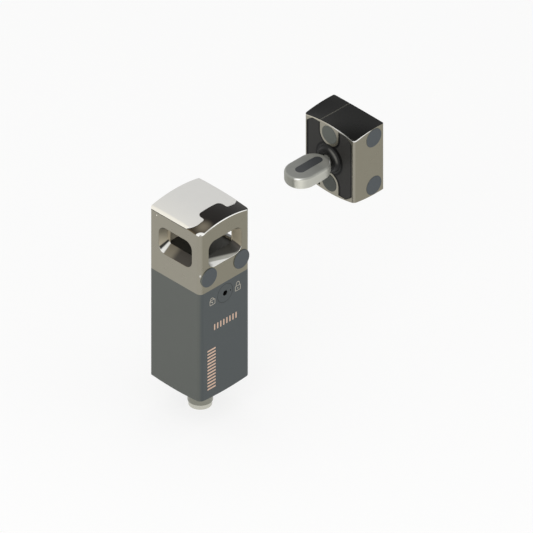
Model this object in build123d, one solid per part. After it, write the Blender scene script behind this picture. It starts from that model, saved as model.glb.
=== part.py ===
from build123d import *
import os

# Safety interlock switch with guard locking, and its separate actuator.
# All lengths are in millimetres.
# The origin is midway between the two fixing holes, on the mounting face.
# +X is to the right, -Y is out of the front, +Z is up.
# The actuator stands to the right with the guard open, and its tongue points at the head.

# Clearances
RUNNING = 0.05          # radial, on a shaft that turns or slides
SEATED = 0.05           # each side, on a piece that is pushed into its seat
EASY = 0.15             # each side, on a piece that is laid into its recess
SWIVEL = 0.30           # on a face that turns past another
CUT_PAST = 1.0          # how far a cut runs past the face that it opens

# Column
COLUMN = 40.0           # side of the square column
FRONT_CORNER = 3.0
BACK_CORNER = 1.0
EDGE = 0.8              # rounding of the outer edges of the steel pieces

# Body
BODY_HEIGHT = 75.0
BODY_WALL = 2.0
BODY_FLOOR = 3.0
CAVITY_CORNER = 2.0
FOOT_FLAT_RADIUS = 19.5     # the underside is flat inside this radius
FOOT_SLOPE = 0.12           # rise of the turned chamfer for each millimetre outwards

# Head
HEAD_SIDE = 42.1        # height at the left and right edges of the arched top
HEAD_CROWN = 45.25      # height at its middle
TOP_CREST = 28.0        # from the front face back to the highest line of the top
TOP_FALL = 1.5          # from that line down to the front edge
SPIGOT_DEPTH = 3.0
GASKET_WIDTH = 1.2
GASKET_HEIGHT = 1.4

# Fixing holes of the head
FIXING_SPACING = 26.0
FIXING_RISE = 9.5       # above the seam between body and head
FIXING_HOLE = 5.3
FIXING_SEAT = 9.0       # depth of the counterbore
PLUG_DIAMETER = 12.2
PLUG_THICKNESS = 3.0
PLUG_PROUD = 0.6
PLUG_EDGE = 0.4
PLUG_HOLLOW = 6.0
PLUG_HOLLOW_DEPTH = 1.5

# Passages for the tongue, on the front, left and right
PASSAGE_RISE = 24.0     # above the seam between body and head
MOUTH_WIDTH = 26.6
MOUTH_HEIGHT = 18.2
MOUTH_CORNER = 5.2
THROAT_WIDTH = 23.5
THROAT_HEIGHT = 10.0
THROAT_CORNER = 3.0
FUNNEL_DEPTH = 6.0
CHAMBER_HEIGHT = 13.0
CHAMBER_CORNER = 3.0
BACK_WALL = 7.0         # steel behind the chamber

# Status lens on top of the head
LENS_FOOT = 41.2        # height of its lower edge
LENS_EDGE = 1.7         # its thickness at the left and right edges
LENS_SHOULDER = 2.0     # rounding of these edges
LENS_FRONT = 12.4       # reach of its two lobes in front of the column's axis
LENS_SIDE_FRONT = 8.7
LOBE_FLAT = 13.0        # half width at which a lobe starts to curve back
LOBE_CORNER = 1.2
TAB_WIDTH = 18.0        # steel tab that reaches back between the lobes
TAB_BACK = 6.5
TAB_CORNER = 3.0
LENS_SEAL = 0.4
POCKET_WIDTH = 32.0
POCKET_FRONT = 5.0      # in front of the column's axis
POCKET_BACK = 17.0      # behind the column's axis
POCKET_CORNER = 2.0
SKIRT_DEPTH = 3.5
SKIRT_WALL = 1.5
LENS_PIN = 1.0
LENS_PIN_PAST = 0.85    # reach past the skirt's inner face
LENS_PIN_BACK = 15.0    # behind the column's axis
LENS_PIN_DROP = 2.0     # below the seat of the lens
SPACER_WALL = 2.5
LED_BOARD = 1.2
LED_SIZE = 3.0
LED_HEIGHT = 1.2
LED_SPACING = 7.0
LED_COUNT = 4
ANTENNA_BOARD = 1.2
ANTENNA_COIL = 0.8
ANTENNA_COIL_WIDTH = 3.0
ANTENNA_COIL_LENGTH = 18.0
ANTENNA_COIL_DEPTH = 11.0
ANTENNA_COIL_CORNER = 3.6
WINDOW_FLOOR = 2.3      # steel between the chamber and the pocket above it
WINDOW_WIDTH = 27.0
WINDOW_FRONT = 4.0      # in front of the column's axis
WINDOW_BACK = 12.0      # behind the column's axis
WINDOW_CORNER = 2.0

# Lock bolt
BOLT = 5.0
BOLT_STROKE = 7.0
BOLT_SUNK = 0.5         # below the chamber's floor when drawn back
BOLT_TIP = 0.5
BOLT_COLLAR = 12.0
BOLT_COLLAR_HEIGHT = 2.3
BOLT_STUD = 3.0
BOLT_STUD_LENGTH = 5.0
BUSH_DIAMETER = 9.6
BUSH_FLANGE = 12.0
BUSH_FLANGE_HEIGHT = 1.5
WIPER_DIAMETER = 7.4
WIPER_HEIGHT = 2.0
WIPER_DROP = 2.5        # below the chamber's floor

# Solenoid
PLUNGER = 9.0
PLUNGER_LENGTH = 26.0
SPRING_BORE_DEPTH = 12.0
SPRING_DIAMETER = 6.8
SPRING_WIRE = 0.9
SPRING_TURNS = 7.0
YOKE_WIDTH = 31.0
YOKE_DEPTH = 18.0
YOKE_PLATE = 3.0
YOKE_HEIGHT = 34.0
BOBBIN_WALL = 1.1
BOBBIN_FLANGE = 24.0
BOBBIN_FLANGE_THICKNESS = 1.2
WINDING_DIAMETER = 22.4
STANDOFF = 5.0
STANDOFF_SPACING = 22.0
STANDOFF_STUD = 3.0
STANDOFF_STUD_LENGTH = 2.8

# Auxiliary release
RELEASE_DROP = 7.7      # below the seam between body and head
RELEASE_DISC = 12.4
RELEASE_DISC_THICKNESS = 1.2
RELEASE_SHAFT = 7.0
RELEASE_BOSS = 18.0
RELEASE_BOSS_DEPTH = 4.0
RELEASE_SOCKET = 3.2    # across the flats
RELEASE_SOCKET_DEPTH = 3.5
RELEASE_MARK = 0.9
RELEASE_MARK_RADIUS = 4.3
RELEASE_MARK_DEPTH = 0.3
RELEASE_SEAL_WIRE = 1.0
RELEASE_GROOVE = 8.0    # diameter to which the cut of the seal's groove reaches
CRANK_PLATE = 9.1
CRANK_PLATE_THICKNESS = 1.5
CRANK_PIN = 1.8

# Circuit board in the body
BOARD_THICKNESS = 1.6
BOARD_BACK = 2.2        # from the board's back to the cavity's back wall
BOARD_TOP_DROP = 9.0    # below the seam between body and head
RAIL_HEIGHT = 1.6
RAIL_WIDTH = 1.1
CHIP_THICKNESS = 1.5
CHIP_WIDTH = 10.0
CHIP_SPACING = 16.0
CHIP_DROP = 13.0        # from the yoke's foot to the chips' foot
HEADER_WIDTH = 14.0
HEADER_HEIGHT = 5.0
HEADER_DEPTH = 4.0
HEADER_RISE = 1.0       # above the connector's nut

# Connector under the body
SHELL_DIAMETER = 14.7
SHELL_LENGTH = 16.0
NOSE_DIAMETER = 13.6
NOSE_LENGTH = 3.1
STEM_DIAMETER = 12.0
STEM_LENGTH = 9.0
NUT_ACROSS = 17.0
NUT_THICKNESS = 3.5
MATING_BORE = 11.0
MATING_DEPTH = 10.5
INSERT_NOSE = 8.4
INSERT_BODY = 9.6
INSERT_SUNK = 1.2
CONTACT_CIRCLE_DIAMETER = 5.5
CONTACT_RING_COUNT = 7
CONTACT_DIAMETER = 1.3
CONTACT_BORE = 0.8
CONTACT_TAIL = 1.5
SHELL_SEAL_WIDTH = 1.0
SHELL_SEAL_THICKNESS = 0.8

# Guard travel
CLOSED_GAP = 5.5        # between head and actuator with the guard closed
GUARD_TRAVEL = 78.0     # from closed to the place where the actuator stands

# Actuator block
BLOCK_DEPTH = 24.0
BLOCK_WIDTH = 40.0
BLOCK_HEIGHT = 47.4     # at the middle of the face
FACE_ARCH = 82.0        # radius of the arched top and bottom at the face
WAIST_DEPTH = 10.0      # behind the face
WAIST_HEIGHT = 46.4
WAIST_ARCH = 320.0
BACK_HEIGHT = 45.8
BACK_ARCH = 1000.0
BLOCK_FRONT_CORNER = 2.0
BLOCK_BACK_CORNER = 1.0
BLOCK_FIXING_SPACING = 33.0
BLOCK_FIXING_HOLE = 5.3
BLOCK_FIXING_SEAT = 8.0
SIDE_HOLE_SETBACK = 8.1     # from the back face
FRONT_PLUG = 11.5
SIDE_PLUG = 12.0
BLOCK_PLUG_PROUD = 0.3
RULE_SIDE = 7.4         # engraved line on top, to the side of the middle
RULE_WIDTH = 0.3
RULE_DEPTH = 0.3

# Face inserts of the actuator
INSERT_WIDTH = 36.4
INSERT_RADIUS = 25.6
INSERT_CORNER = 2.0
INSERT_THICKNESS = 1.5
INSERT_RECESS = 1.7
PLUG_BOSS = 14.7

# Swivelling tongue
TONGUE_WIDTH = 19.6
TONGUE_THICKNESS = 8.0
TONGUE_REACH = 32.2     # from the block's face to the tip
TONGUE_ROOT = 2.8       # from the block's face to the near end
TONGUE_EDGE = 2.0
NECK = 6.4
BALL = 11.0
BALL_SETBACK = 4.0      # centre of the ball, behind the block's face
LINER_DIAMETER = 16.0
LINER_WIDTH = 7.2
SOCKET_BORE_DEPTH = 12.0
CAP_FLANGE = 19.0
CAP_FLANGE_THICKNESS = 1.6
CAP_DOME = 19.2         # diameter of the dome's sphere
CAP_HEIGHT = 2.4
BOOT_WALL = 1.0
BOOT_REST = 1.6         # how far the boot reaches behind the cap's end
INLAY_LENGTH = 19.7
INLAY_WIDTH = 6.25
INLAY_START = 6.4       # from the block's face
INLAY_DEPTH = 2.0
LOCK_POCKET = 8.8
LOCK_POCKET_DEPTH = 5.0

# Levels and places worked out from the sizes above
SEAM_Z = -FIXING_RISE
BASE_Z = SEAM_Z - BODY_HEIGHT
SIDE_Z = SEAM_Z + HEAD_SIDE
CROWN_Z = SEAM_Z + HEAD_CROWN
CREST_Y = TOP_CREST - COLUMN
TOP_RADIUS = (TOP_CREST ** 2 + TOP_FALL ** 2) / (2 * TOP_FALL)
PASSAGE_Z = SEAM_Z + PASSAGE_RISE
SPIGOT_Z = SEAM_Z - SPIGOT_DEPTH
GASKET_Z = SEAM_Z - (SPIGOT_DEPTH + GASKET_HEIGHT) / 2
CAVITY = COLUMN - 2 * BODY_WALL
AXIS_Y = -COLUMN / 2
AXIS = Pos(0, AXIS_Y, 0)

CHAMBER_REACH = COLUMN / 2 - FUNNEL_DEPTH
CHAMBER_LENGTH = COLUMN - FUNNEL_DEPTH - BACK_WALL
CHAMBER_Y = (FUNNEL_DEPTH - BACK_WALL) / 2
FLOOR_Z = PASSAGE_Z - CHAMBER_HEIGHT / 2
CEILING_Z = PASSAGE_Z + CHAMBER_HEIGHT / 2

LENS_PIN_LENGTH = (COLUMN - POCKET_WIDTH) / 2 + EASY + SKIRT_WALL + LENS_PIN_PAST
LENS_Z = SEAM_Z + LENS_FOOT
SEAT_Z = LENS_Z - LENS_SEAL
POCKET_Z = CEILING_Z + WINDOW_FLOOR
LED_BOARD_Z = SEAT_Z - SKIRT_DEPTH - SWIVEL - LED_BOARD
POCKET_LENGTH = POCKET_FRONT + POCKET_BACK
POCKET_Y = (POCKET_BACK - POCKET_FRONT) / 2

RELEASE_Z = SEAM_Z - RELEASE_DROP
CRANK_THROW = BOLT_STROKE / 2
COLLAR_TOP_Z = RELEASE_Z - CRANK_THROW - CRANK_PIN / 2 - EASY
COLLAR_Z = COLLAR_TOP_Z - BOLT_COLLAR_HEIGHT
YOKE_TOP_Z = COLLAR_Z - SWIVEL
YOKE_Z = YOKE_TOP_Z - YOKE_HEIGHT
COIL_Z = YOKE_Z + YOKE_PLATE
COIL_HEIGHT = YOKE_HEIGHT - 2 * YOKE_PLATE
PLUNGER_Z = COLLAR_Z - PLUNGER_LENGTH
SPRING_TOP_Z = PLUNGER_Z + SPRING_BORE_DEPTH

BOSS_FACE = COLUMN / 2 - BODY_WALL - RELEASE_BOSS_DEPTH     # in front of the axis
CRANK_FACE = BOSS_FACE - SWIVEL - CRANK_PLATE_THICKNESS

BOARD_Z = BASE_Z + BODY_FLOOR
BOARD_HEIGHT = BODY_HEIGHT - BODY_FLOOR - BOARD_TOP_DROP
BOARD_Y = CAVITY / 2 - BOARD_BACK - BOARD_THICKNESS / 2     # behind the axis

ACTUATOR_X = COLUMN / 2 + CLOSED_GAP + GUARD_TRAVEL
ACTUATOR = Pos(ACTUATOR_X, AXIS_Y, PASSAGE_Z)
PIVOT = ACTUATOR * Pos(BALL_SETBACK, 0, 0)
LOCK_REACH = COLUMN / 2 + CLOSED_GAP    # from the block's face to the bolt's axis

# Planes on the faces that the pieces are set into, each looking outwards
SIDES = {
    "front": Plane(origin=(0, -COLUMN, 0), x_dir=(1, 0, 0), z_dir=(0, -1, 0)),
    "left": Plane(origin=(-COLUMN / 2, AXIS_Y, 0), x_dir=(0, -1, 0), z_dir=(-1, 0, 0)),
    "right": Plane(origin=(COLUMN / 2, AXIS_Y, 0), x_dir=(0, 1, 0), z_dir=(1, 0, 0)),
}
BLOCK_FACE = Plane(origin=(ACTUATOR_X, AXIS_Y, PASSAGE_Z), x_dir=(0, -1, 0), z_dir=(-1, 0, 0))
BLOCK_SIDE = Plane(
    origin=(ACTUATOR_X + BLOCK_DEPTH - SIDE_HOLE_SETBACK, AXIS_Y - BLOCK_WIDTH / 2, PASSAGE_Z),
    x_dir=(1, 0, 0),
    z_dir=(0, -1, 0),
)


def rod(diameter, height, z=0.0):
    """Round bar that stands on height z."""
    return Pos(0, 0, z) * extrude(Circle(diameter / 2), height)


def tube(outside, inside, height, z=0.0):
    """Round tube that stands on height z."""
    return Pos(0, 0, z) * extrude(Circle(outside / 2) - Circle(inside / 2), height)


def ring(diameter, wire, z=0.0):
    """Round seal ring with the given outside diameter, centred on height z."""
    return Pos(0, 0, z) * Torus((diameter - wire) / 2, wire / 2)


def slab(width, length, height, corner, z=0.0, y=0.0):
    """Flat block with rounded upright corners that stands on height z."""
    return Pos(0, y, z) * extrude(RectangleRounded(width, length, corner), height)


def turned(*profile):
    """Body of revolution about Z from points given as radius and height."""
    return revolve(Plane.XZ * make_face(Polyline(*profile, close=True)), Axis.Z)


def column_outline(side, front_corner, back_corner):
    """Square with larger corners at the front than at the back."""
    outline = Rectangle(side, side)
    outline = fillet(outline.vertices().sort_by(Axis.Y)[:2], front_corner)
    return fillet(outline.vertices().sort_by(Axis.Y)[-2:], back_corner)


def arched_column(foot_z, side_z, crown_z, shoulder=0):
    """Column whose top is arched from left to right and, much less, from front to back."""
    half = COLUMN / 2
    foot = foot_z - CUT_PAST
    sides = Polyline((-half, side_z), (-half, foot), (half, foot), (half, side_z))
    arch = ThreePointArc((half, side_z), (0, crown_z), (-half, side_z))
    profile = make_face(sides + arch)
    if shoulder:
        profile = fillet(profile.vertices().sort_by(Axis.Y)[-2:], shoulder)
    crest = Axis((0, CREST_Y, crown_z - TOP_RADIUS), (1, 0, 0))
    top = revolve(Pos(0, CREST_Y, 0) * (Plane.XZ * profile), crest)
    walls = extrude(column_outline(COLUMN, FRONT_CORNER, BACK_CORNER), crown_z - foot_z)
    return AXIS * Pos(0, 0, foot_z) * walls & top


def lens_outline():
    """The lens seen from above, centred on the column's axis, with two lobes at its front."""
    half = COLUMN / 2
    straight = Polyline(
        (half, -LENS_SIDE_FRONT),
        (half, half),
        (0, half),
        (0, -TAB_BACK),
        (TAB_WIDTH / 2, -TAB_BACK),
        (TAB_WIDTH / 2, -LENS_FRONT),
        (LOBE_FLAT, -LENS_FRONT),
    )
    lobe = TangentArc((LOBE_FLAT, -LENS_FRONT), (half, -LENS_SIDE_FRONT), tangent=(1, 0))
    right = make_face(straight + lobe)
    notch = right.vertices().filter_by(lambda v: abs(v.X - TAB_WIDTH / 2) < 0.01).sort_by(Axis.Y)
    right = fillet(notch[-1], TAB_CORNER)
    tip = right.vertices().filter_by(lambda v: abs(v.X - TAB_WIDTH / 2) < 0.01).sort_by(Axis.Y)
    right = fillet(tip[0], LOBE_CORNER)
    return right + mirror(right, Plane.YZ)


def funnel(side):
    """Tapered mouth of one passage, with some length outside the face."""
    mouth = RectangleRounded(MOUTH_WIDTH, MOUTH_HEIGHT, MOUTH_CORNER)
    throat = RectangleRounded(THROAT_WIDTH, THROAT_HEIGHT, THROAT_CORNER)
    face = SIDES[side] * Pos(0, PASSAGE_Z, 0)
    taper = loft([face * mouth, face * Pos(0, 0, -FUNNEL_DEPTH) * throat])
    return taper + face * extrude(mouth, CUT_PAST)


def fixing_places():
    """Centres of the two fixing holes on the front plane."""
    return [SIDES["front"] * Pos(side * FIXING_SPACING / 2, 0, 0) for side in (-1, 1)]


def counterbored(hole, counterbore, seat, depth):
    """Fixing hole along -Z that starts at its counterbore's mouth."""
    return rod(hole, depth, -depth) + rod(counterbore, seat, -seat)


def plug(diameter, proud):
    """Press-in cover of a counterbore, with a rounded rim and a hollow back."""
    blank = rod(diameter, PLUG_THICKNESS + proud, -PLUG_THICKNESS)
    rim = blank.edges().sort_by(Axis.Z)[-1]
    return fillet(rim, PLUG_EDGE) - rod(PLUG_HOLLOW, PLUG_HOLLOW_DEPTH, -PLUG_THICKNESS)


def standoff_places():
    """Centres of the two standoffs, seen from above."""
    return [AXIS * Pos(side * STANDOFF_SPACING / 2, 0, 0) for side in (-1, 1)]


def lens_pin_places():
    """Outer ends of the pins in the left and right faces."""
    z = SEAT_Z - LENS_PIN_DROP
    return [
        SIDES["left"] * Pos(-LENS_PIN_BACK, z, 0),
        SIDES["right"] * Pos(LENS_PIN_BACK, z, 0),
    ]


def head_housing():
    """Steel head with three tapered passages into one chamber, and a seat for the lens."""
    head = arched_column(SEAM_Z, SIDE_Z, CROWN_Z)
    front_edges = head.faces().sort_by(Axis.Z)[-1].edges().group_by(Axis.Y)[0]
    head = fillet(front_edges, EDGE)
    chamber = slab(2 * CHAMBER_REACH, CHAMBER_LENGTH, CHAMBER_HEIGHT, CHAMBER_CORNER, FLOOR_Z)
    head -= AXIS * Pos(0, CHAMBER_Y, 0) * chamber
    for side in SIDES:
        head -= funnel(side)
    bore = counterbored(FIXING_HOLE, PLUG_DIAMETER + 2 * SEATED, FIXING_SEAT, COLUMN)
    for place in fixing_places():
        head -= place * bore

    head -= AXIS * rod(BUSH_DIAMETER, FLOOR_Z - SEAM_Z + CUT_PAST, SEAM_Z)

    above = CROWN_Z - SEAT_Z + CUT_PAST
    head -= AXIS * Pos(0, 0, SEAT_Z) * extrude(lens_outline(), above)
    pocket = slab(POCKET_WIDTH, POCKET_LENGTH, above + SEAT_Z - POCKET_Z, POCKET_CORNER)
    head -= AXIS * Pos(0, POCKET_Y, POCKET_Z) * pocket
    head -= window_plate(SEATED)
    for place in lens_pin_places():
        head -= place * rod(LENS_PIN + 2 * SEATED, LENS_PIN_LENGTH, -LENS_PIN_LENGTH)
    return head


def head_base():
    """Plate under the head that fits into the body, with the gasket's groove, held by the bush."""
    outline = CAVITY - 2 * EASY
    base = slab(outline, outline, SPIGOT_DEPTH, CAVITY_CORNER, SPIGOT_Z)
    groove = slab(COLUMN, COLUMN, GASKET_HEIGHT, CAVITY_CORNER, GASKET_Z)
    inner = outline - 2 * GASKET_WIDTH
    base -= groove - slab(inner, inner, GASKET_HEIGHT, CAVITY_CORNER, GASKET_Z)
    base -= rod(BUSH_DIAMETER, SPIGOT_DEPTH, SPIGOT_Z)
    base -= rod(BUSH_FLANGE + 2 * SEATED, BUSH_FLANGE_HEIGHT, SPIGOT_Z)
    base = AXIS * base
    stud_hole = rod(STANDOFF_STUD + 2 * SEATED, SPIGOT_DEPTH, SPIGOT_Z)
    for place in standoff_places():
        base -= place * stud_hole
    return base


def window_plate(clearance):
    """Shape of the reader window, or of its hole when a clearance is given."""
    width = WINDOW_WIDTH + 2 * clearance
    length = WINDOW_FRONT + WINDOW_BACK + 2 * clearance
    y = (WINDOW_BACK - WINDOW_FRONT) / 2
    return AXIS * slab(width, length, WINDOW_FLOOR, WINDOW_CORNER, CEILING_Z, y)


def status_lens():
    """Light-scattering cap with an arched top and a skirt that drops into the head."""
    top = arched_column(LENS_Z, LENS_Z + LENS_EDGE, CROWN_Z, LENS_SHOULDER)
    lens = top & AXIS * Pos(0, 0, LENS_Z) * extrude(lens_outline(), CROWN_Z - LENS_Z)
    width = POCKET_WIDTH - 2 * EASY
    length = POCKET_LENGTH - 2 * EASY
    skirt = slab(width, length, SKIRT_DEPTH + LENS_SEAL, POCKET_CORNER)
    inside = slab(
        width - 2 * SKIRT_WALL,
        length - 2 * SKIRT_WALL,
        SKIRT_DEPTH + LENS_SEAL,
        POCKET_CORNER / 2,
    )
    lens += AXIS * Pos(0, POCKET_Y, SEAT_Z - SKIRT_DEPTH) * (skirt - inside)
    for place in lens_pin_places():
        lens -= place * rod(LENS_PIN + 2 * SEATED, LENS_PIN_LENGTH, -LENS_PIN_LENGTH)
    return lens


def lens_seal():
    """Flat seal between lens and head, open over the pocket."""
    opening = RectangleRounded(POCKET_WIDTH, POCKET_LENGTH, POCKET_CORNER)
    plate = extrude(lens_outline() - Pos(0, POCKET_Y) * opening, LENS_SEAL)
    rim = arched_column(SEAM_Z, SIDE_Z, CROWN_Z)
    return AXIS * Pos(0, 0, SEAT_Z) * plate & rim


def lens_pins():
    """Two cross pins that hold the skirt of the lens."""
    depth = LENS_PIN_LENGTH
    return [place * rod(LENS_PIN, depth, -depth) for place in lens_pin_places()]


def board_spacer():
    """Plastic frame that carries the light board above the reader board."""
    width = POCKET_WIDTH - 2 * EASY
    length = POCKET_LENGTH - 2 * EASY
    height = LED_BOARD_Z - POCKET_Z
    outer = slab(width, length, height, POCKET_CORNER)
    inner = slab(width - 2 * SPACER_WALL, length - 2 * SPACER_WALL, height, POCKET_CORNER / 2)
    return AXIS * Pos(0, POCKET_Y, POCKET_Z) * (outer - inner)


def led_board():
    """Board that carries the status lights, laid on the spacer."""
    width = POCKET_WIDTH - 2 * EASY
    length = POCKET_LENGTH - 2 * EASY
    return AXIS * slab(width, length, LED_BOARD, POCKET_CORNER, LED_BOARD_Z, POCKET_Y)


def status_leds():
    """Row of light-emitting diodes on the board."""
    row = GridLocations(LED_SPACING, 0, LED_COUNT, 1)
    z = LED_BOARD_Z + LED_BOARD
    return [
        AXIS * Pos(0, POCKET_Y, z) * place * extrude(Rectangle(LED_SIZE, LED_SIZE), LED_HEIGHT)
        for place in row
    ]


def reader_window():
    """Plastic window through which the tongue's transponder is read."""
    return window_plate(0)


def antenna_board():
    """Reader board on the reader window."""
    width = POCKET_WIDTH - 2 * SPACER_WALL - 4 * EASY
    length = POCKET_LENGTH - 2 * SPACER_WALL - 4 * EASY
    return AXIS * slab(width, length, ANTENNA_BOARD, POCKET_CORNER, POCKET_Z, POCKET_Y)


def antenna_coil():
    """Flat oval winding on the reader board."""
    outline = RectangleRounded(ANTENNA_COIL_LENGTH, ANTENNA_COIL_DEPTH, ANTENNA_COIL_CORNER)
    inside = offset(outline, -ANTENNA_COIL_WIDTH)
    winding = extrude(outline - inside, ANTENNA_COIL)
    return AXIS * Pos(0, POCKET_Y, POCKET_Z + ANTENNA_BOARD) * winding


def head_gasket():
    """Square ring in the groove round the head's spigot."""
    outer = CAVITY - 2 * SEATED
    inner = CAVITY - 2 * EASY - 2 * GASKET_WIDTH
    outline = RectangleRounded(outer, outer, CAVITY_CORNER)
    outline -= RectangleRounded(inner, inner, CAVITY_CORNER)
    return AXIS * Pos(0, 0, GASKET_Z) * extrude(outline, GASKET_HEIGHT)


def fixing_plugs():
    """Covers of the two fixing holes."""
    return [place * plug(PLUG_DIAMETER, PLUG_PROUD) for place in fixing_places()]


def bolt_bush():
    """Flanged guide of the lock bolt, with an inner groove for its wiper."""
    bush = rod(BUSH_DIAMETER, FLOOR_Z - SPIGOT_Z, SPIGOT_Z)
    bush += rod(BUSH_FLANGE, BUSH_FLANGE_HEIGHT, SPIGOT_Z)
    bush -= rod(BOLT + 2 * RUNNING, FLOOR_Z - SPIGOT_Z, SPIGOT_Z)
    bush -= rod(WIPER_DIAMETER, WIPER_HEIGHT, FLOOR_Z - WIPER_DROP - WIPER_HEIGHT)
    return AXIS * bush


def bolt_wiper():
    """Rubber ring that wipes the lock bolt."""
    z = FLOOR_Z - WIPER_DROP - WIPER_HEIGHT
    return AXIS * tube(WIPER_DIAMETER, BOLT + 2 * RUNNING, WIPER_HEIGHT, z)


def lock_bolt():
    """Lock bolt with the collar that the release presses on, and a stud below."""
    top_z = FLOOR_Z - BOLT_SUNK
    shank = rod(BOLT, top_z - COLLAR_Z, COLLAR_Z)
    shank = chamfer(shank.edges().sort_by(Axis.Z)[-1], BOLT_TIP)
    shank += rod(BOLT_COLLAR, BOLT_COLLAR_HEIGHT, COLLAR_Z)
    shank += rod(BOLT_STUD, BOLT_STUD_LENGTH, COLLAR_Z - BOLT_STUD_LENGTH)
    return AXIS * shank


def plunger():
    """Iron plunger, bored below for its spring and above for the bolt's stud."""
    iron = rod(PLUNGER, PLUNGER_LENGTH, PLUNGER_Z)
    iron -= rod(BOLT_STUD, BOLT_STUD_LENGTH, COLLAR_Z - BOLT_STUD_LENGTH)
    iron -= rod(SPRING_DIAMETER + 2 * EASY, SPRING_BORE_DEPTH, PLUNGER_Z)
    return AXIS * iron


def lock_spring():
    """Coil spring that lifts the plunger."""
    radius = (SPRING_DIAMETER - SPRING_WIRE) / 2
    height = SPRING_TOP_Z - COIL_Z - SPRING_WIRE
    path = Helix(height / SPRING_TURNS, height, radius)
    section = Plane(origin=path @ 0, z_dir=path % 0) * Circle(SPRING_WIRE / 2)
    coil = sweep(section, path=path, is_frenet=True)
    return AXIS * Pos(0, 0, COIL_Z + SPRING_WIRE / 2) * coil


def solenoid_yoke():
    """Iron frame round the coil."""
    frame = Box(YOKE_WIDTH, YOKE_DEPTH, YOKE_HEIGHT)
    frame -= Box(YOKE_WIDTH - 2 * YOKE_PLATE, YOKE_DEPTH, COIL_HEIGHT)
    frame = Pos(0, 0, YOKE_Z + YOKE_HEIGHT / 2) * frame
    frame -= rod(PLUNGER + 2 * EASY, YOKE_PLATE, YOKE_TOP_Z - YOKE_PLATE)
    return AXIS * frame


def coil_bobbin():
    """Plastic spool of the coil."""
    bore = PLUNGER + 2 * EASY
    spool = rod(bore + 2 * BOBBIN_WALL, COIL_HEIGHT, COIL_Z)
    top_z = COIL_Z + COIL_HEIGHT - BOBBIN_FLANGE_THICKNESS
    for z in (COIL_Z, top_z):
        spool += rod(BOBBIN_FLANGE, BOBBIN_FLANGE_THICKNESS, z)
    return AXIS * (spool - rod(bore, COIL_HEIGHT, COIL_Z))


def coil_winding():
    """Copper winding between the spool's flanges."""
    inside = PLUNGER + 2 * EASY + 2 * BOBBIN_WALL
    height = COIL_HEIGHT - 2 * BOBBIN_FLANGE_THICKNESS
    return AXIS * tube(WINDING_DIAMETER, inside, height, COIL_Z + BOBBIN_FLANGE_THICKNESS)


def yoke_standoffs():
    """Two posts that hang the solenoid from the head."""
    post = rod(STANDOFF, SPIGOT_Z - YOKE_TOP_Z, YOKE_TOP_Z)
    post += rod(STANDOFF_STUD, STANDOFF_STUD_LENGTH, SPIGOT_Z)
    return [place * post for place in standoff_places()]


def body_housing():
    """Sleeve closed at the bottom, with the release's boss and the board's rails inside."""
    outline = column_outline(COLUMN, FRONT_CORNER, BACK_CORNER)
    body = Pos(0, 0, BASE_Z) * extrude(outline, BODY_HEIGHT)
    cavity_z = BASE_Z + BODY_FLOOR
    body -= slab(CAVITY, CAVITY, BODY_HEIGHT, CAVITY_CORNER, cavity_z)
    for side in (-1, 1):
        for face_y in (BOARD_Y - BOARD_THICKNESS / 2, BOARD_Y + BOARD_THICKNESS / 2):
            outwards = 1 if face_y > BOARD_Y else -1
            x = side * (CAVITY - RAIL_HEIGHT) / 2
            y = face_y + outwards * (EASY + RAIL_WIDTH / 2)
            rail = extrude(Rectangle(RAIL_HEIGHT, RAIL_WIDTH), BOARD_HEIGHT)
            body += Pos(x, y, cavity_z) * rail
    reach = COLUMN
    slope = turned(
        (FOOT_FLAT_RADIUS, BASE_Z - CUT_PAST),
        (FOOT_FLAT_RADIUS, BASE_Z),
        (FOOT_FLAT_RADIUS + reach, BASE_Z + reach * FOOT_SLOPE),
        (FOOT_FLAT_RADIUS + reach, BASE_Z - CUT_PAST),
    )
    body -= slope
    body -= rod(STEM_DIAMETER + 2 * SEATED, BODY_FLOOR, BASE_Z)
    body = AXIS * body

    release = SIDES["front"] * Pos(0, RELEASE_Z, 0)
    thickness = BODY_WALL + RELEASE_BOSS_DEPTH
    boss = release * rod(RELEASE_BOSS, RELEASE_BOSS_DEPTH, -thickness)
    room = slab(COLUMN, COLUMN, BODY_HEIGHT, FRONT_CORNER, SPIGOT_Z - SWIVEL - BODY_HEIGHT)
    body += boss & AXIS * room
    body -= release * rod(RELEASE_SHAFT + 2 * RUNNING, thickness, -thickness)
    sunk = RELEASE_DISC_THICKNESS + EASY
    body -= release * rod(RELEASE_DISC + 2 * RUNNING, sunk, -sunk)
    return body


def release_disc():
    """Release, flush in the front wall, with its drive socket, pointer mark and shaft."""
    shaft_end = COLUMN / 2 - CRANK_FACE
    disc = rod(RELEASE_DISC, RELEASE_DISC_THICKNESS, -RELEASE_DISC_THICKNESS)
    disc += rod(RELEASE_SHAFT, shaft_end, -shaft_end)
    socket = extrude(RegularPolygon(RELEASE_SOCKET / 2, 6, major_radius=False), RELEASE_SOCKET_DEPTH)
    disc -= Pos(0, 0, -RELEASE_SOCKET_DEPTH) * socket
    mark = rod(RELEASE_MARK, RELEASE_MARK_DEPTH, -RELEASE_MARK_DEPTH)
    disc -= Pos(RELEASE_MARK_RADIUS, 0, 0) * mark
    groove_z = -RELEASE_DISC_THICKNESS - EASY - RELEASE_SEAL_WIRE
    disc -= tube(
        RELEASE_GROOVE,
        RELEASE_SHAFT - 2 * (RELEASE_SEAL_WIRE - RUNNING),
        RELEASE_SEAL_WIRE + 2 * EASY,
        groove_z - EASY - RELEASE_SEAL_WIRE / 2,
    )
    return SIDES["front"] * Pos(0, RELEASE_Z, 0) * disc


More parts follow.
